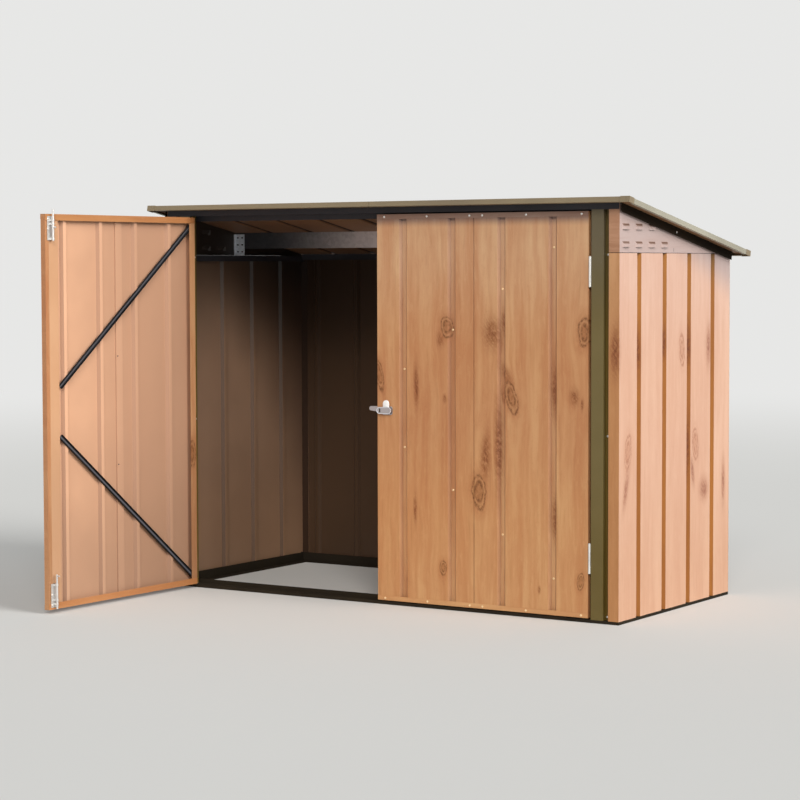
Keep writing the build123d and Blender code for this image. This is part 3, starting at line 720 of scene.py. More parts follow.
class Shape:
    """Faces gathered for one piece, shape by shape."""

    def __init__(self) -> None:
        """Start with no faces."""
        self.mesh = bmesh.new()

    def _tube(self, rings: Iterable[Ring], next_rings: Iterable[Ring]) -> None:
        """Join rings of points into a tube.

        Args:
            rings: The rings, all with as many points.
            next_rings: The ring that each one is joined to.
        """
        for low, high in zip(rings, next_rings):
            for step in range(len(low)):
                after = (step + 1) % len(low)
                self.mesh.faces.new((low[step], low[after], high[after], high[step]))

    def lathe(self, profile: Outline, place: Matrix, steps: int = 16, arms: int = 0) -> None:
        """Turn a profile about the place's Z axis.

        Args:
            profile: Radius and height of each ring, from the foot to the middle, in metres.
            place: Where the turned form stands.
            steps: How many sides it has.
            arms: How many of the last rings are pressed down along a cross.
        """
        rings = []
        for number, (radius, height) in enumerate(profile):
            ring = []
            for step in range(steps):
                angle = 2.0 * pi * step / steps
                pressed = number >= len(profile) - arms and step % (steps // 4) == 0
                drop = RECESS if pressed else 0.0
                point = Vector((radius * cos(angle), radius * sin(angle), height - drop))
                ring.append(self.mesh.verts.new(place @ point))
            rings.append(ring)
        self._tube(rings, rings[1:])
        self.mesh.faces.new(rings[-1])
        self.mesh.faces.new(list(reversed(rings[0])))

    def slab(self, outline: Outline, low: float, high: float, place: Matrix, bevel: float) -> None:
        """Raise an outline into a slab with bevelled edges.

        Args:
            outline: The outline's points, counter-clockwise, in metres.
            low: Height of its underside.
            high: Height of its top.
            place: Where it stands.
            bevel: How wide its edges are cut.
        """
        bottom = [self.mesh.verts.new(place @ Vector((x, y, low))) for x, y in outline]
        top = [self.mesh.verts.new(place @ Vector((x, y, high))) for x, y in outline]
        faces = [self.mesh.faces.new(top), self.mesh.faces.new(list(reversed(bottom)))]
        for number in range(len(outline)):
            after = (number + 1) % len(outline)
            faces.append(self.mesh.faces.new((bottom[number], bottom[after], top[after], top[number])))
        if bevel > 0.0:
            edges = list(dict.fromkeys(edge for face in faces for edge in face.edges))
            bmesh.ops.bevel(self.mesh, geom=edges, offset=bevel, segments=2, profile=0.6, affect="EDGES")

    def rope(self, path: Sequence[Vector], radius: float, sides: int = 8) -> None:
        """Run a closed round bead along a closed path.

        Args:
            path: The points of its middle line.
            radius: The bead's radius, in metres.
            sides: How many sides it has.
        """
        rings = []
        count = len(path)
        for number, point in enumerate(path):
            ahead = (path[(number + 1) % count] - path[number - 1]).normalized()
            side = ahead.cross(UP)
            side = side.normalized() if side.length > 0.01 else Vector(RIGHT)
            rise = side.cross(ahead)
            ring = []
            for step in range(sides):
                angle = 2.0 * pi * step / sides
                ring.append(self.mesh.verts.new(point + radius * (cos(angle) * side + sin(angle) * rise)))
            rings.append(ring)
        self._tube(rings, [*rings[1:], rings[0]])

    def piece(self, name: str, finish: Material, body: str) -> None:
        """Turn the faces into a piece.

        Args:
            name: The piece's name.
            finish: Its material.
            body: The body that it rides on.
        """
        bmesh.ops.recalc_face_normals(self.mesh, faces=self.mesh.faces)
        data = bpy.data.meshes.new(name)
        self.mesh.to_mesh(data)
        self.mesh.free()
        for polygon in data.polygons:
            polygon.use_smooth = True
        data.set_sharp_from_angle(angle=SHARP_ANGLE)
        data.materials.append(finish)
        made = bpy.data.objects.new(name, data)
        bpy.context.scene.collection.objects.link(made)
        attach(made, body)
        LOG.info("built %s with %d faces", name, len(data.polygons))


def open_direction() -> Vector:
    """Return the direction from the left door's hinge to its free edge, as the door stands at rest."""
    return Vector((cos(OPEN_ANGLE), -sin(OPEN_ANGLE), 0.0))


def oblong(wide: float, tall: float) -> Outline:
    """Return the corners of an upright oblong with these half sizes."""
    return [(-wide, -tall), (wide, -tall), (wide, tall), (-wide, tall)]


def stand(point: Vector, out: Vector, spin: float = 0.0) -> Matrix:
    """Return a place at a point whose Z axis looks outward.

    Args:
        point: Where the place is.
        out: The direction of its Z axis.
        spin: How far it is turned about that axis, in radians.

    Returns:
        The place as a matrix.
    """
    turn = out.to_track_quat("Z", "Y").to_matrix().to_4x4()
    return Matrix.Translation(point) @ turn @ Matrix.Rotation(spin, 4, "Z")


class Head(Enum):
    """The kinds of screw head, as radius and height of each ring in millimetres."""

    PAN = ((4.6, 0.0), (4.7, 0.5), (4.5, 1.3), (3.7, 2.0), (2.5, 2.4), (1.9, 2.45), (1.5, 2.4), (0.5, 2.3))
    TIP = ((2.4, 0.0), (2.4, 1.6), (1.8, 3.0), (0.6, 4.6))
    ROOF = ((7.0, 0.0), (7.2, 0.7), (6.6, 1.2), (5.1, 1.3), (5.0, 4.2), (4.4, 4.7), (3.0, 4.75), (1.0, 4.75))


@dataclass
class Screws:
    """A set of like screws on one body, each with its place and the direction that it looks in."""

    name: str
    body: str
    head: Head = Head.PAN
    places: list[tuple[Vector, Vector]] = field(default_factory=list)

    def add(self, point: Vector, out: Vector) -> None:
        """Add one screw."""
        self.places.append((point, out))

    def build(self, finish: Material) -> None:
        """Make the screws as one piece, each turned by chance.

        Args:
            finish: What they are made of.
        """
        chance = random.Random(len(self.name) * 31 + len(self.places))
        shape = Shape()
        rings = [(radius * MM, height * MM) for radius, height in self.head.value]
        sides, arms = (16, 2) if self.head is Head.PAN else (12, 0)
        for point, out in self.places:
            shape.lathe(rings, stand(point, out, chance.uniform(0.0, pi)), sides, arms)
        shape.piece(self.name, finish, self.body)


@dataclass
class Finishes:
    """Every material of the store, made once."""

    front: float
    half: float
    right_knots: tuple[Knot, ...] = knot_table(
        (313, 1119, 24, 42, False, 8), (521, 1098, 30, 46, True), (566, 1140, 8, 40, True),
        (606, 852, 25, 60, False, 16), (579, 939, 15, 34, True, 30), (566, 858, 9, 24, True),
        (925, 1107, 26, 52, False, -4), (792, 880, 11, 70, True), (917, 832, 5, 16, True),
        (461, 475, 30, 62, False, 4), (490, 610, 16, 74, True, -4), (547, 660, 12, 120, True),
        (296, 166, 15, 30), (912, 156, 14, 30, False, -6), (165, 394, 6, 44, True),
        (795, 389, 10, 62, True), (731, 110, 4, 10, True), (171, 885, 9, 60, True), (121, 110, 3, 8, True),
        (303, 838, 6, 12, True), (885, 860, 14, 24, True), (285, 1075, 12, 22, True),
        (-4, 925, 18, 60, False, 12),
    )
    side_knots: tuple[Knot, ...] = knot_table(
        (539, 1029, 22, 60, False, 5), (783, 1035, 14, 56, True), (75, 652, 24, 66, False, -6),
        (664, 648, 25, 62, False, 8), (164, 1032, 11, 62, True), (385, 1061, 10, 50, True),
        (603, 1041, 11, 60, True), (603, 640, 8, 90, True), (60, 520, 12, 60, True, -14),
        (640, 540, 10, 40, True, 10), (745, 460, 26, 30, True), (930, 470, 10, 60, True),
        (-18, 1037, 17, 68, True),
    )
    # The print as the lit side walls show it, paler and pinker than the front: painted light and sheen. Its darker
    # back, shade and rib sides are painted shade for the store's inside.
    side_palette: PrintPalette = PrintPalette(
        light=(0.63, 0.39, 0.27),
        warm=(0.55, 0.305, 0.2),
        streak=(0.45, 0.22, 0.13),
        knot=(0.33, 0.13, 0.065),
        groove_shade=(1.0, 1.0, 1.0),
        stain=(0.62, 0.46, 0.38),
        back=(0.36, 0.214, 0.135),
        shade=(0.2, 0.117, 0.075),
        crown_highlight=(1.02, 1.0, 0.97),
        both_flanks_shade=(0.58, 0.55, 0.52),
    )
    # A darker copy of the print for the side walls' slanting rib sides: painted shade.
    side_flank_shade: PrintPalette = PrintPalette(light=(0.32, 0.118, 0.013), warm=(0.24, 0.08, 0.008))
    side_edge: PrintPalette = PrintPalette(light=(0.55, 0.27, 0.115), warm=(0.41, 0.175, 0.06))
    gable_edge: PrintPalette = PrintPalette(light=(0.52, 0.285, 0.17), warm=(0.33, 0.155, 0.08))
    # A darker copy of the print for the leaves' slanting rib sides: painted shade.
    leaf_flank_shade: PrintPalette = PrintPalette(
        light=(0.48, 0.24, 0.115), warm=(0.36, 0.155, 0.07), streak=(0.23, 0.085, 0.033)
    )
    # The print as the lit gables show it, paler and greyer than the front: painted light and sheen. Its near-black
    # back and shade are painted shade inside the gables.
    gable_palette: PrintPalette = PrintPalette(
        light=(0.46, 0.365, 0.34),
        warm=(0.43, 0.31, 0.275),
        streak=(0.35, 0.22, 0.18),
        knot=(0.34, 0.2, 0.15),
        groove_shade=(1.0, 1.0, 1.0),
        back=(0.025, 0.017, 0.012),
        shade=(0.02, 0.013, 0.01),
    )
    band_palette: PrintPalette = PrintPalette(
        light=(0.5, 0.225, 0.08), warm=(0.38, 0.145, 0.045), streak=(0.3, 0.1, 0.03), back=(0.5, 0.22, 0.08)
    )

    def _scatter(self, seed: int, low: float, high: float, count: int) -> tuple[Knot, ...]:
        """Strew knots over a sheet that the photograph doesn't show.

        Args:
            seed: What sets them apart from another sheet's.
            low: One edge of the sheet across the grain, in millimetres.
            high: The other edge.
            count: How many there are.

        Returns:
            The knots.
        """
        chance = random.Random(seed)
        knots = []
        for number in range(count):
            across = low + (high - low) * (number + chance.uniform(0.2, 0.8)) / count
            wide = chance.uniform(12.0, 34.0)
            knots.append(Knot(across, chance.uniform(120.0, 1340.0), wide, wide * chance.uniform(1.8, 2.4)))
        return tuple(knots)

    def walls(self) -> dict[str, Material]:
        """Make the printed finishes of the walls and gables.

        Returns:
            Each finish by the node that wears it.
        """
        half, front = self.half, self.front
        shift = (half + front) / MM
        side = tuple(replace(knot, across=knot.across + shift) for knot in self.side_knots)
        far_side = self._scatter(5, shift, shift - 2.0 * front / MM, 9)
        # Painted light and shade on the side walls: cooler and paler at the top, darker and warmer at the foot,
        # darker and cooler at the top towards the back, and darker on faces that look to the front in the back
        # corner.
        wall_light_and_shade = (
            Drift(UPRIGHT, 0.9, 1.4, (1.0, 1.07, 1.18)),
            Drift(UPRIGHT, 0.75, 0.1, (0.93, 0.9, 0.84)),
            Drift((0.0, 0.35, 1.0), 1.36, 1.52, (0.68, 0.8, 0.97)),
            Drift(BACKWARD, 0.4, 0.475, (0.3, 0.27, 0.25), (-0.2, -1.0, 0.0)),
        )
        made = {}
        for node, sign, knots in (("side_wall_right", 1.0, side), ("side_wall_left", -1.0, far_side)):
            inward = (-sign, 0.0, 0.0)
            made[node] = WoodPrint(
                f"print_{node}",
                (sign, 1.0, 0.0),
                (sign, 0.0, 0.0),
                half,
                self.side_palette,
                knots,
                seed=sign,
                fold_depth=0.03,
                flank_shade=self.side_flank_shade,
                edge=self.side_edge,
                returns=True,
                drifts=(*wall_light_and_shade, *self._dim_inside(inward)),
            ).make()
        for node, sign in (("gable_right", 1.0), ("gable_left", -1.0)):
            made[node] = WoodPrint(
                f"print_{node}",
                UPRIGHT,
                (sign, 0.0, 0.0),
                half,
                self.gable_palette,
                grain=(sign, 1.0, 0.0),
                seed=sign + 8.0,
                fold_depth=0.03,
                edge=self.gable_edge,
                edge_before=front + 3.0 * MM,
                # Painted shade on the louvres' upper edges.
                lid_shade=(0.13, 0.062, 0.035),
                returns=True,
            ).make()
        # The back wall's inside is near black and darker still under the roof: painted shade.
        back = WoodPrint(
            "print_back",
            RIGHT,
            BACKWARD,
            -front,
            PrintPalette(back=(0.07, 0.037, 0.019), shade=(0.05, 0.027, 0.014), crown_highlight=(1.0, 1.0, 1.0)),
            self._scatter(9, -half / MM, half / MM, 14),
            seed=21.0,
            drifts=(Drift(UPRIGHT, 0.9, 1.35, (0.45, 0.4, 0.33), FORWARD),),
        ).make()
        for number in range(1, 5):
            made[f"back_wall_sheet_{number}"] = back
        return made

    def _dim_inside(self, inward: Direction) -> tuple[Drift, ...]:
        """Return the shade that gathers under the roof and in the back corner of a wall's inside."""
        roof = Drift(UPRIGHT, 0.9, 1.38, (0.42, 0.4, 0.37), inward)
        return roof, Drift((0.0, 1.0, 0.5), 0.4, 1.1, (0.34, 0.31, 0.29), inward)

    def leaf(self, hand: Hand, along: Vector, inward: Vector, level: float) -> dict[str, Material]:
        """Make the finishes of one leaf.

        Args:
            hand: Which leaf it is.
            along: The direction from its hinge to its free edge.
            inward: The direction into the store when it is shut.
            level: How far outward its printed face lies, in metres.

        Returns:
            Each finish by the node that wears it.
        """
        out = tuple(-part for part in inward)
        across = RIGHT
        knots = self.right_knots
        fade = None
        # Painted light and shade on the leaves' outer faces and bands: cooler and paler towards the top, paler at
        # the foot, paler and cooler towards the lower right, and the header's painted shadow along the top.
        outer_light_and_shade = (
            Drift(UPRIGHT, 1.0, 1.5, (1.1, 1.3, 1.6), out),
            Drift(UPRIGHT, 0.8, 0.3, (1.08, 1.1, 1.03), out),
            Drift((0.6, 0.0, -0.8), -0.2, 0.3, (1.03, 1.09, 1.15), out),
            Drift(UPRIGHT, 1.51, 1.55, (0.42, 0.45, 0.62), out),
        )
        # The inner face darkens towards the foot: painted shade.
        inner_shade = Drift(UPRIGHT, 0.85, 0.05, (0.72, 0.73, 0.73), tuple(inward))
        if hand is Hand.LEFT:
            across = tuple(along)
            knots = self._scatter(3, 0.52 / MM, 1.38 / MM, 10)
            # The open leaf's back darkens towards the hinge: painted shade.
            fade = (1.36, 0.86)
        face = WoodPrint(
            f"print_{hand.value}_leaf",
            across,
            out,
            level,
            knots=knots,
            seed=31.0,
            flank_shade=self.leaf_flank_shade,
            fade=fade,
            drifts=(*outer_light_and_shade, inner_shade),
        ).make()
        band = WoodPrint(
            f"print_{hand.value}_band",
            UPRIGHT,
            out,
            level,
            grain=tuple(along),
            seed=37.0,
            fold_depth=0.004,
            rear=self.band_palette,
            drifts=outer_light_and_shade,
        ).make()
        # The stile darkens towards the foot: painted shade.
        stile = Enamel(
            f"coat_{hand.value}_stile",
            (0.6, 0.34, 0.19),
            (0.55, 0.3, 0.16),
            dusty=0.04,
            drifts=(Drift(UPRIGHT, 0.9, 0.4, (0.8, 0.8, 0.8)),),
        ).make()
        return {
            f"{hand.value}_door_sheet_hinge_side": face,
            f"{hand.value}_door_sheet_free_side": face,
            f"{hand.value}_door_edge_channels": band,
            f"{hand.value}_door_free_stile": stile,
        }

    def metals(self) -> dict[str, Material]:
        """Make the bare metals and the mouldings.

        Returns:
            Each one by its name.
        """
        shadowed = Drift(RIGHT, -0.2, -0.9, (0.1, 0.105, 0.11))
        coats = (
            ZincCoat("bright_zinc", (0.78, 0.77, 0.75), 240.0, 0.12, 0.3),
            ZincCoat("yellowed_zinc", (0.95, 0.72, 0.42), 240.0, 0.12, 0.3, 0.5),
            ZincCoat("hinge_zinc", (0.74, 0.73, 0.7), 200.0, 0.15, 0.4, 0.75),
            ZincCoat("galvanised_steel", (0.66, 0.63, 0.64), 70.0, 0.3, 0.5, 0.6, (shadowed,)),
            ZincCoat("bracket_zinc", (0.8, 0.84, 0.9), 140.0, 0.3, 0.5, 0.3),
            ZincCoat("latch_zinc", (0.5, 0.47, 0.48), 300.0, 0.1, 0.32, 0.85),
            Moulding("white_moulding", (0.88, 0.87, 0.85)),
            # Near black: painted shade in the latch's key slot and the gables' slits; the screw tips wear it too.
            Moulding("dark_slot", (0.02, 0.02, 0.02)),
        )
        return {coat.name: coat.make() for coat in coats}

    def enamels(self) -> dict[str, Material]:
        """Make the plain paints of the posts, the rails and the roof.

        Returns:
            Each one by its name.
        """
        # Painted shade and light on the posts: darker in the recess behind the face, darker and cooler at the top
        # under the eave, darker and warmer at the foot.
        post_light_and_shade = (
            Drift(BACKWARD, self.front + 12.0 * MM, self.front + 16.0 * MM, (0.9, 0.8, 0.4)),
            Drift(UPRIGHT, 1.1, 1.5, (0.74, 0.79, 1.25)),
            Drift(UPRIGHT, 0.75, 0.1, (0.9, 0.86, 0.62)),
        )
        # Painted shade and light on the roof's underside: dark in the ribs' hollows seen from below, and paler
        # towards the right.
        level = ROOF_NORMAL.dot(Vector((0.0, self.front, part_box("header")[1].z)))
        under = tuple(-ROOF_NORMAL)
        roof_light_and_shade = (
            Drift(tuple(ROOF_NORMAL), level + 2.0 * MM, level + 6.0 * MM, (0.12, 0.1, 0.08), under),
            Drift(RIGHT, -0.8, -0.2, (1.35, 1.4, 1.3), under),
        )
        coats = (
            Enamel("olive_enamel", (0.152, 0.112, 0.038), (0.132, 0.096, 0.029), drifts=post_light_and_shade),
            Enamel("dark_enamel", (0.042, 0.04, 0.045), (0.028, 0.026, 0.03), 0.5, 0.04, 0.2),
            # Dark brown, made darker for the shade under the eave: partly painted shade.
            Enamel("eave_enamel", (0.018, 0.011, 0.006), (0.01, 0.007, 0.004), 0.7, 0.0, 0.05),
            # Dark brown, made darker for the shade that the low rails stand in: partly painted shade.
            Enamel("rail_enamel", (0.03, 0.023, 0.015), (0.022, 0.017, 0.012), 0.7, 0.03, 0.03),
            Enamel("roof_enamel", (0.19, 0.092, 0.045), (0.14, 0.068, 0.034), 0.45, drifts=roof_light_and_shade),
            Enamel("trim_enamel", (0.236, 0.182, 0.108), (0.19, 0.147, 0.09), 0.45, 0.1),
            Enamel("side_trim_enamel", (0.34, 0.32, 0.25), (0.27, 0.25, 0.19), 0.45, 0.1),
        )
        return {coat.name: coat.make() for coat in coats}


def wear(frame: Mapping[str, object], node: str, finish: Material) -> None:
    """Give a node of the frame its finish.

    Args:
        frame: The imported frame.
        node: The node's name.
        finish: The material that it wears.
    """
    slots = frame["nodes"][node].data.materials
    slots.clear()
    slots.append(finish)
    LOG.info("dressed %s in %s", node, finish.name)


@dataclass
class Leaf:
    """One door leaf: u runs from the hinge pin to the free edge, v inwards and z up, in metres."""

    hand: Hand
    pin: Vector
    along: Vector
    inward: Vector
    free_edge: float
    face_depth: float = 1.3 * MM
    groove_depth: float = 13.3 * MM
    band_low: float = 26.0 * MM
    band_high: float = 1557.0 * MM
    first_groove: float = 161.5 * MM
    last_groove: float = 122.0 * MM
    seam_shift: float = 18.0 * MM
    from_pin: tuple[float, ...] = (35.5, 277.5)
    from_seam: tuple[float, ...] = (-46.0, 12.0)
    from_edge: tuple[float, ...] = (-235.0, -35.0)
    brace_heights: tuple[float, ...] = (1431.0, 1271.0, 1110.0, 951.0, 157.0, 314.0, 477.0, 638.0)
    tip_heights: tuple[float, ...] = (1000.0, 560.0)
    tip_shift: float = 4.0 * MM
    tip_rise: float = 2.6 * MM
    middle: float = 792.0 * MM
    brace_start: float = 31.5 * MM
    brace_height: float = 735.0 * MM
    brace_drop: float = 637.0 * MM
    brace_short: float = 115.8 * MM

    @property
    def body(self) -> str:
        """Return the body that the leaf is."""
        return f"{self.hand.value}_door"

    def at(self, u: float, v: float, z: float) -> Vector:
        """Return the point at a place on the leaf."""
        return Vector((self.pin.x, self.pin.y, 0.0)) + u * self.along + v * self.inward + z * UP

    def build(self, frame: Mapping[str, object], finishes: Finishes, coats: Coats) -> None:
        """Dress the leaf's sheets and set its screws.

        Args:
            frame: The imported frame.
            finishes: What makes the printed finishes.
            coats: The plain finishes by name.
        """
        level = -self.inward.dot(self.at(0.0, 0.0, 0.0))
        for node, finish in finishes.leaf(self.hand, self.along, self.inward, level - self.face_depth).items():
            wear(frame, node, finish)
        first, last = self.first_groove, self.free_edge - self.last_groove
        grooves = [first + (last - first) * number / 3 for number in range(4)]
        seam = (grooves[1] + grooves[2]) / 2.0 + self.seam_shift
        screws = Screws(f"{self.body}_screws", self.body)
        stained = Screws(f"{self.body}_stained_screws", self.body)
        for start, shifts in ((0.0, self.from_pin), (seam, self.from_seam), (self.free_edge, self.from_edge)):
            for shift in shifts:
                u = start + shift * MM
                screws.add(self.at(u, 0.0, self.band_high), -self.inward)
                stained.add(self.at(u, 0.0, self.band_low), -self.inward)
        for number, z in enumerate(self.brace_heights):
            stained.add(self.at(grooves[number % 4], self.groove_depth, z * MM), -self.inward)
        screws.build(coats["bright_zinc"])
        stained.build(coats["yellowed_zinc"])
        self._braces(frame)
        if self.hand is Hand.LEFT:
            tips = Screws("left_door_screw_tips", self.body, Head.TIP)
            for z in self.tip_heights:
                tips.add(self.at(seam - self.tip_shift, self.groove_depth + self.tip_rise, z * MM), self.inward)
            tips.build(coats["dark_slot"])

    def _braces(self, frame: Mapping[str, object]) -> None:
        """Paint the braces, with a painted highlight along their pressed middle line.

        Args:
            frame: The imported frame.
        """
        start = self.along.dot(self.at(self.brace_start, 0.0, 0.0))
        slope = self.brace_drop / (self.free_edge - self.brace_short)
        crease_highlight = CreaseHighlight(self.middle, tuple(self.along), start, self.brace_height, slope)
        name = f"brace_enamel_{self.hand.value}"
        enamel = Enamel(name, (0.016, 0.016, 0.018), (0.01, 0.01, 0.011), 0.5, 0.02, 0.1, crease_highlight)
        wear(frame, f"{self.body}_braces", enamel.make())


@dataclass
class Latch:
    """Small work on the turn latch: a rolled rim, a key slot painted as a dark patch of shade, and a thumb pad."""

    rim: float = 1.1 * MM
    steps: int = 40
    slot: tuple[float, float] = (3.0 * MM, 8.0 * MM)
    slot_shift: float = 2.0 * MM
    slot_rise: float = 0.3 * MM
    thumb_inset: float = 1.0 * MM
    thumb_gap: float = 0.5 * MM
    thumb_rise: float = 2.6 * MM
    thumb_bevel: float = 1.2 * MM
    thumb_steps: int = 14

    def build(self, coats: Coats) -> None:
        """Build the latch's own pieces over the lever and the thumb tab.

        Args:
            coats: The plain finishes by name.
        """
        low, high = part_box("latch_lever")
        middle_z = (low.z + high.z) / 2.0
        radius = (high.z - low.z) / 2.0 - self.rim
        left, right = low.x + radius + self.rim, high.x - radius - self.rim
        path = []
        for step in range(self.steps):
            angle = 2.0 * pi * step / self.steps
            centre = right if cos(angle) > 0.0 else left
            path.append(Vector((centre + radius * cos(angle), low.y, middle_z + radius * sin(angle))))
        shape = Shape()
        shape.rope(path, self.rim)
        # The rim wears a paler zinc than the lever, partly a painted highlight.
        shape.piece("latch_lever_rim", coats["bracket_zinc"], "latch")
        # The key slot is a thin near-black patch: painted shade.
        shape = Shape()
        place = stand(Vector((left + self.slot_shift, low.y, middle_z)), Vector(FORWARD))
        shape.slab(oblong(*self.slot), 0.0, self.slot_rise, place, 0.0)
        shape.piece("latch_lever_slot", coats["dark_slot"], "latch")
        low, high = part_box("latch_thumb")
        width = (high.x - low.x) / 2.0 - self.thumb_inset
        foot = low.z - high.z + width + self.thumb_inset
        arc = [pi * step / self.thumb_steps for step in range(self.thumb_steps + 1)]
        outline = [(width * cos(angle), width * sin(angle)) for angle in arc]
        outline += [(-width, foot), (width, foot)]
        centre = Vector(((low.x + high.x) / 2.0, low.y, high.z - width - self.thumb_gap))
        place = Matrix.Translation(centre) @ Matrix.Rotation(pi / 2.0, 4, "X")
        shape = Shape()
        shape.slab(outline, -1.0 * MM, self.thumb_rise, place, self.thumb_bevel)
        shape.piece("latch_thumb_pad", coats["white_moulding"], "latch")


@dataclass
class Posts:
    """Screws of the door posts."""

    recess_x: float = 1015.5 * MM
    recess_depth: float = 22.0 * MM
    inner_depth: float = 30.0 * MM
    heights: tuple[float, ...] = (1402.0, 715.0, 25.0)
    inner_heights: tuple[float, ...] = (1400.0, 715.0, 14.0)

    def build(self, coats: Coats) -> None:
        """Set the posts' screws on the recess beside each post and on its inner side.

        Args:
            coats: The plain finishes by name.
        """
        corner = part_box("door_post_right")[0]
        screws = Screws("post_screws", "store")
        for z in self.heights:
            for side in (-1.0, 1.0):
                point = Vector((side * self.recess_x, corner.y + self.recess_depth, z * MM))
                screws.add(point, Vector(FORWARD))
        for z in self.inner_heights:
            for side in (-1.0, 1.0):
                point = Vector((side * abs(corner.x), corner.y + self.inner_depth, z * MM))
                screws.add(point, Vector((-side, 0.0, 0.0)))
        screws.build(coats["bright_zinc"])


@dataclass
class Shell:
    """Screws of the gables, the back wall and the roof, and the gables' small slits, painted as dark patches of
    shade.
    """

    gable_screw: tuple[float, float] = (465.0 * MM, 1491.0 * MM)
    slit: tuple[float, float] = (1.2 * MM, 7.0 * MM)
    slit_place: tuple[float, float] = (461.0 * MM, 1421.0 * MM)
    slit_rise: float = 0.3 * MM
    back_foot: float = 30.0 * MM
    back_top: float = 14.0 * MM
    back_pitch: float = 219.0 * MM
    back_count: int = 9
    roof_rows: tuple[float, ...] = (14.0, 500.0, 985.0)
    roof_first: float = 35.0
    roof_pitch: float = 217.0
    roof_ribs: int = 11
    roof_rise: float = 10.0 * MM
    header_gap: float = 0.3 * MM

    def build(self, coats: Coats) -> None:
        """Set the shell's screws and slits."""
        self._walls(coats)
        self._roof(coats)

    def _walls(self, coats: Coats) -> None:
        """Set the screws of the gables and the back wall, and the gables' slits.

        Args:
            coats: The plain finishes by name.
        """
        low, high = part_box("side_wall_right")
        screws = Screws("wall_screws", "store")
        # The slits are thin near-black patches: painted shade.
        slits = Shape()
        for side in (-1.0, 1.0):
            y, z = self.gable_screw
            screws.add(Vector((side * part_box("eave_rails")[1].x, low.y + y, z)), Vector((side, 0.0, 0.0)))
            y, z = self.slit_place
            turn = Matrix.Rotation(pi * (1.0 - side / 2.0), 4, "Z") @ Matrix.Rotation(pi / 2.0, 4, "X")
            place = Matrix.Translation(Vector((side * high.x, low.y + y, z))) @ turn
            slits.slab(oblong(*self.slit), 0.0, self.slit_rise, place, 0.0)
        slits.piece("gable_slits", coats["dark_slot"], "store")
        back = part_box("back_wall_sheet_2")[1]
        for z in (self.back_foot, back.z - self.back_top):
            for number in range(self.back_count):
                x = (number - self.back_count // 2) * self.back_pitch
                screws.add(Vector((x, back.y, z)), Vector(BACKWARD))
        screws.build(coats["bright_zinc"])

    def _roof(self, coats: Coats) -> None:
        """Set a sealing screw on each roof rib over the header, the purlin and the back rail.

        Args:
            coats: The plain finishes by name.
        """
        down = Vector((0.0, cos(ROOF_SLOPE), -sin(ROOF_SLOPE)))
        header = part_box("header")
        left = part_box("roof_trims_side")[0].x
        screws = Screws("roof_screws", "store", Head.ROOF)
        for distance in self.roof_rows:
            for number in range(self.roof_ribs):
                x = left + (self.roof_first + number * self.roof_pitch) * MM
                foot = Vector((x, header[0].y, header[1].z + self.header_gap))
                screws.add(foot + down * distance * MM + ROOF_NORMAL * self.roof_rise, ROOF_NORMAL)
        screws.build(coats["bright_zinc"])


@dataclass
class Fittings:
    """Pin ends on the hinges and screws on the bolt plates."""

    pin: tuple[float, float] = (949.5 * MM, -492.5 * MM)
    pin_rings: Outline = ((3.4, 0.0), (3.4, 0.6), (2.4, 1.4), (0.9, 1.8))
    hinge_height: float = 115.0 * MM
    plate_depth: float = 26.8 * MM
    plate_middle: float = 894.5 * MM
    plate_screw: tuple[float, ...] = (10.0 * MM, 50.0 * MM)
    screw_aside: float = 14.5 * MM

    def build(self, coats: Coats) -> None:
        """Build the hinge pins' domed ends and the bolt plates' screws."""
        self._pins(coats["hinge_zinc"])
        self._bolt_plates(coats["hinge_zinc"])

    def _pins(self, metal: Material) -> None:
        """Cap the ends of each hinge pin.

        Args:
            metal: What the pins are made of.
        """
        low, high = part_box("post_hinge_leaves")
        shape = Shape()
        ends = (low.z, low.z + self.hinge_height, high.z - self.hinge_height, high.z)
        rings = [(radius * MM, height * MM) for radius, height in self.pin_rings]
        for side in (-1.0, 1.0):
            for number, z in enumerate(ends):
                out = -UP if number % 2 == 0 else UP
                shape.lathe(rings, stand(Vector((side * self.pin[0], self.pin[1], z)), out))
        shape.piece("hinge_pin_ends", metal, "store")

    def _bolt_plates(self, metal: Material) -> None:
        """Set four small screws on each barrel bolt plate.

        Args:
            metal: What the screws are made of.
        """
        low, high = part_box("left_door_bolt_plates")
        screws = Screws("bolt_plate_screws", "left_door")
        along = open_direction()
        inward = UP.cross(along)
        face = Vector((-self.pin[0], self.pin[1], 0.0)) + self.plate_depth * inward
        near, far = self.plate_screw
        for z in (low.z + near, low.z + far, high.z - near, high.z - far):
            for side in (-1.0, 1.0):
                screws.add(face + (self.plate_middle + side * self.screw_aside) * along + z * UP, inward)
        screws.build(metal)


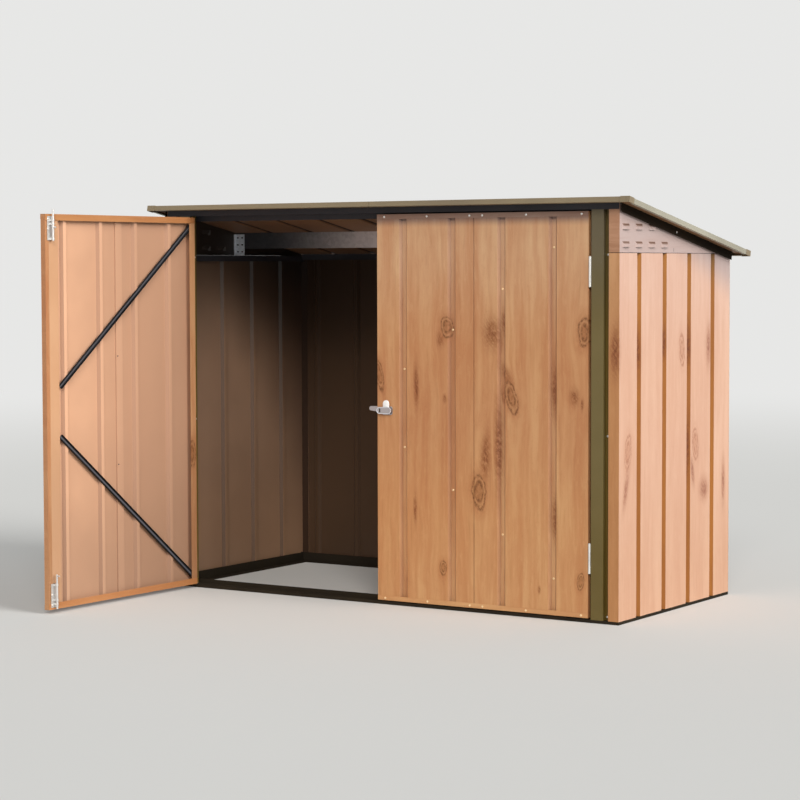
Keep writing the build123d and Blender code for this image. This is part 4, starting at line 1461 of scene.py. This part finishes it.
@dataclass
class Studio:
    """The floor, the light and the camera."""

    focal: float = 2316.81
    frame_size: float = 800.0
    sensor: float = 36.0
    eye: Direction = (5.0822, -8.2665, 1.3605)
    yaw: float = 0.5704
    pitch: float = -0.0577
    roll: float = -0.0025
    pale: Colour = (0.8, 0.8, 0.79)
    sky: Colour = (0.9, 0.95, 1.0)
    sky_strength: float = 0.34
    floor_reach: float = 60.0
    sight: float = 200.0
    lamp_height: float = 3.0

    def build(self) -> None:
        """Set up the whole studio."""
        self._floor()
        self._world()
        self._lamps()
        self._camera()

    def _floor(self) -> None:
        """Lay a wide pale floor that fades into the background."""
        paint = Paint("studio_floor")
        soft = paint.noise(paint.place, 1.2, 3.0)
        colour = paint.mix(soft * 0.2, (0.66, 0.66, 0.64), (0.62, 0.62, 0.6))
        far = paint.length(paint.place).smooth(4.0, 16.0)
        paint.set(Base_Color=paint.mix(far, colour, BLACK), Roughness=0.85, Specular_IOR_Level=0.0)
        paint.set(Emission_Color=paint.mix(far, BLACK, self.pale), Emission_Strength=1.0)
        data = bpy.data.meshes.new("studio_floor")
        corners = [(x, y, 0.0) for x, y in oblong(self.floor_reach, self.floor_reach)]
        data.from_pydata(corners, [], [(0, 1, 2, 3)])
        data.materials.append(paint.material)
        floor = bpy.data.objects.new("studio_floor", data)
        bpy.context.scene.collection.objects.link(floor)

    def _world(self) -> None:
        """Light the store evenly and show a pale background."""
        world = bpy.data.worlds.new("studio")
        bpy.context.scene.world = world
        world.use_nodes = True
        world.node_tree.nodes.clear()
        sky = Nodes(world.node_tree)
        light = sky.node("ShaderNodeBackground", inputs={"Color": self.sky, "Strength": self.sky_strength})
        shown = sky.node("ShaderNodeBackground", inputs={"Color": self.pale})
        seen, glossy, through = (
            sky.node("ShaderNodeLightPath", output=f"Is {kind} Ray") for kind in ("Camera", "Glossy", "Transmission")
        )
        share = seen.greater(glossy).greater(through)
        both = sky.node("ShaderNodeMixShader", inputs={0: share, 1: light, 2: shown})
        out = world.node_tree.nodes.new("ShaderNodeOutputWorld")
        sky.feed(out.inputs[0], both)

    def _lamps(self) -> None:
        """Hang a broad soft light to the right and a weaker one in front."""
        for name, direction, strength, angle, colour in (
            ("light_right", (0.9, -0.06, 0.43), 2.5, 30.0, (1.0, 0.98, 0.97)),
            ("light_front", (0.45, -0.7, 0.55), 1.9, 25.0, (1.0, 0.97, 0.93)),
        ):
            data = bpy.data.lights.new(name, "SUN")
            data.energy = strength
            data.angle = radians(angle)
            data.color = colour
            lamp = bpy.data.objects.new(name, data)
            lamp.matrix_world = stand(self.lamp_height * UP, Vector(direction).normalized())
            bpy.context.scene.collection.objects.link(lamp)

    def _camera(self) -> None:
        """Set the camera where the photograph was taken."""
        level = Vector((cos(self.yaw), sin(self.yaw), 0.0))
        flat = cos(self.pitch)
        forward = Vector((-sin(self.yaw) * flat, cos(self.yaw) * flat, sin(self.pitch)))
        lift = level.cross(forward)
        right = cos(self.roll) * level + sin(self.roll) * lift
        rise = cos(self.roll) * lift - sin(self.roll) * level
        data = bpy.data.cameras.new("camera")
        data.sensor_fit = "HORIZONTAL"
        data.sensor_width = self.sensor
        data.lens = self.focal * self.sensor / self.frame_size
        data.clip_end = self.sight
        camera = bpy.data.objects.new("camera", data)
        turn = Matrix((right, rise, -forward)).transposed().to_4x4()
        camera.matrix_world = Matrix.Translation(Vector(self.eye)) @ turn
        bpy.context.scene.collection.objects.link(camera)
        bpy.context.scene.camera = camera
        bpy.context.scene.view_settings.view_transform = "Standard"


def main() -> None:
    """Dress the store and light it."""
    logging.basicConfig(level=logging.INFO, format="%(message)s")
    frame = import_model()
    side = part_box("side_wall_right")
    finishes = Finishes(side[0].y, side[1].x)
    coats = {**finishes.metals(), **finishes.enamels()}
    for node, finish in finishes.walls().items():
        wear(frame, node, finish)
    for name, nodes in PLAIN_NODES.items():
        for node in nodes:
            wear(frame, node, coats[name])

    pins = {joint["name"]: Vector(joint["pos_m"]) for joint in frame["joints"] if "pos_m" in joint}
    along = open_direction()
    for leaf in (
        Leaf(Hand.LEFT, pins["left_door_hinge"], along, UP.cross(along), 924.5 * MM),
        Leaf(Hand.RIGHT, pins["right_door_hinge"], Vector((-1.0, 0.0, 0.0)), Vector(BACKWARD), 962.5 * MM),
    ):
        leaf.build(frame, finishes, coats)
    for assembly in (Latch(), Posts(), Shell(), Fittings()):
        assembly.build(coats)
    Studio().build()


if __name__ == "__main__":
    main()
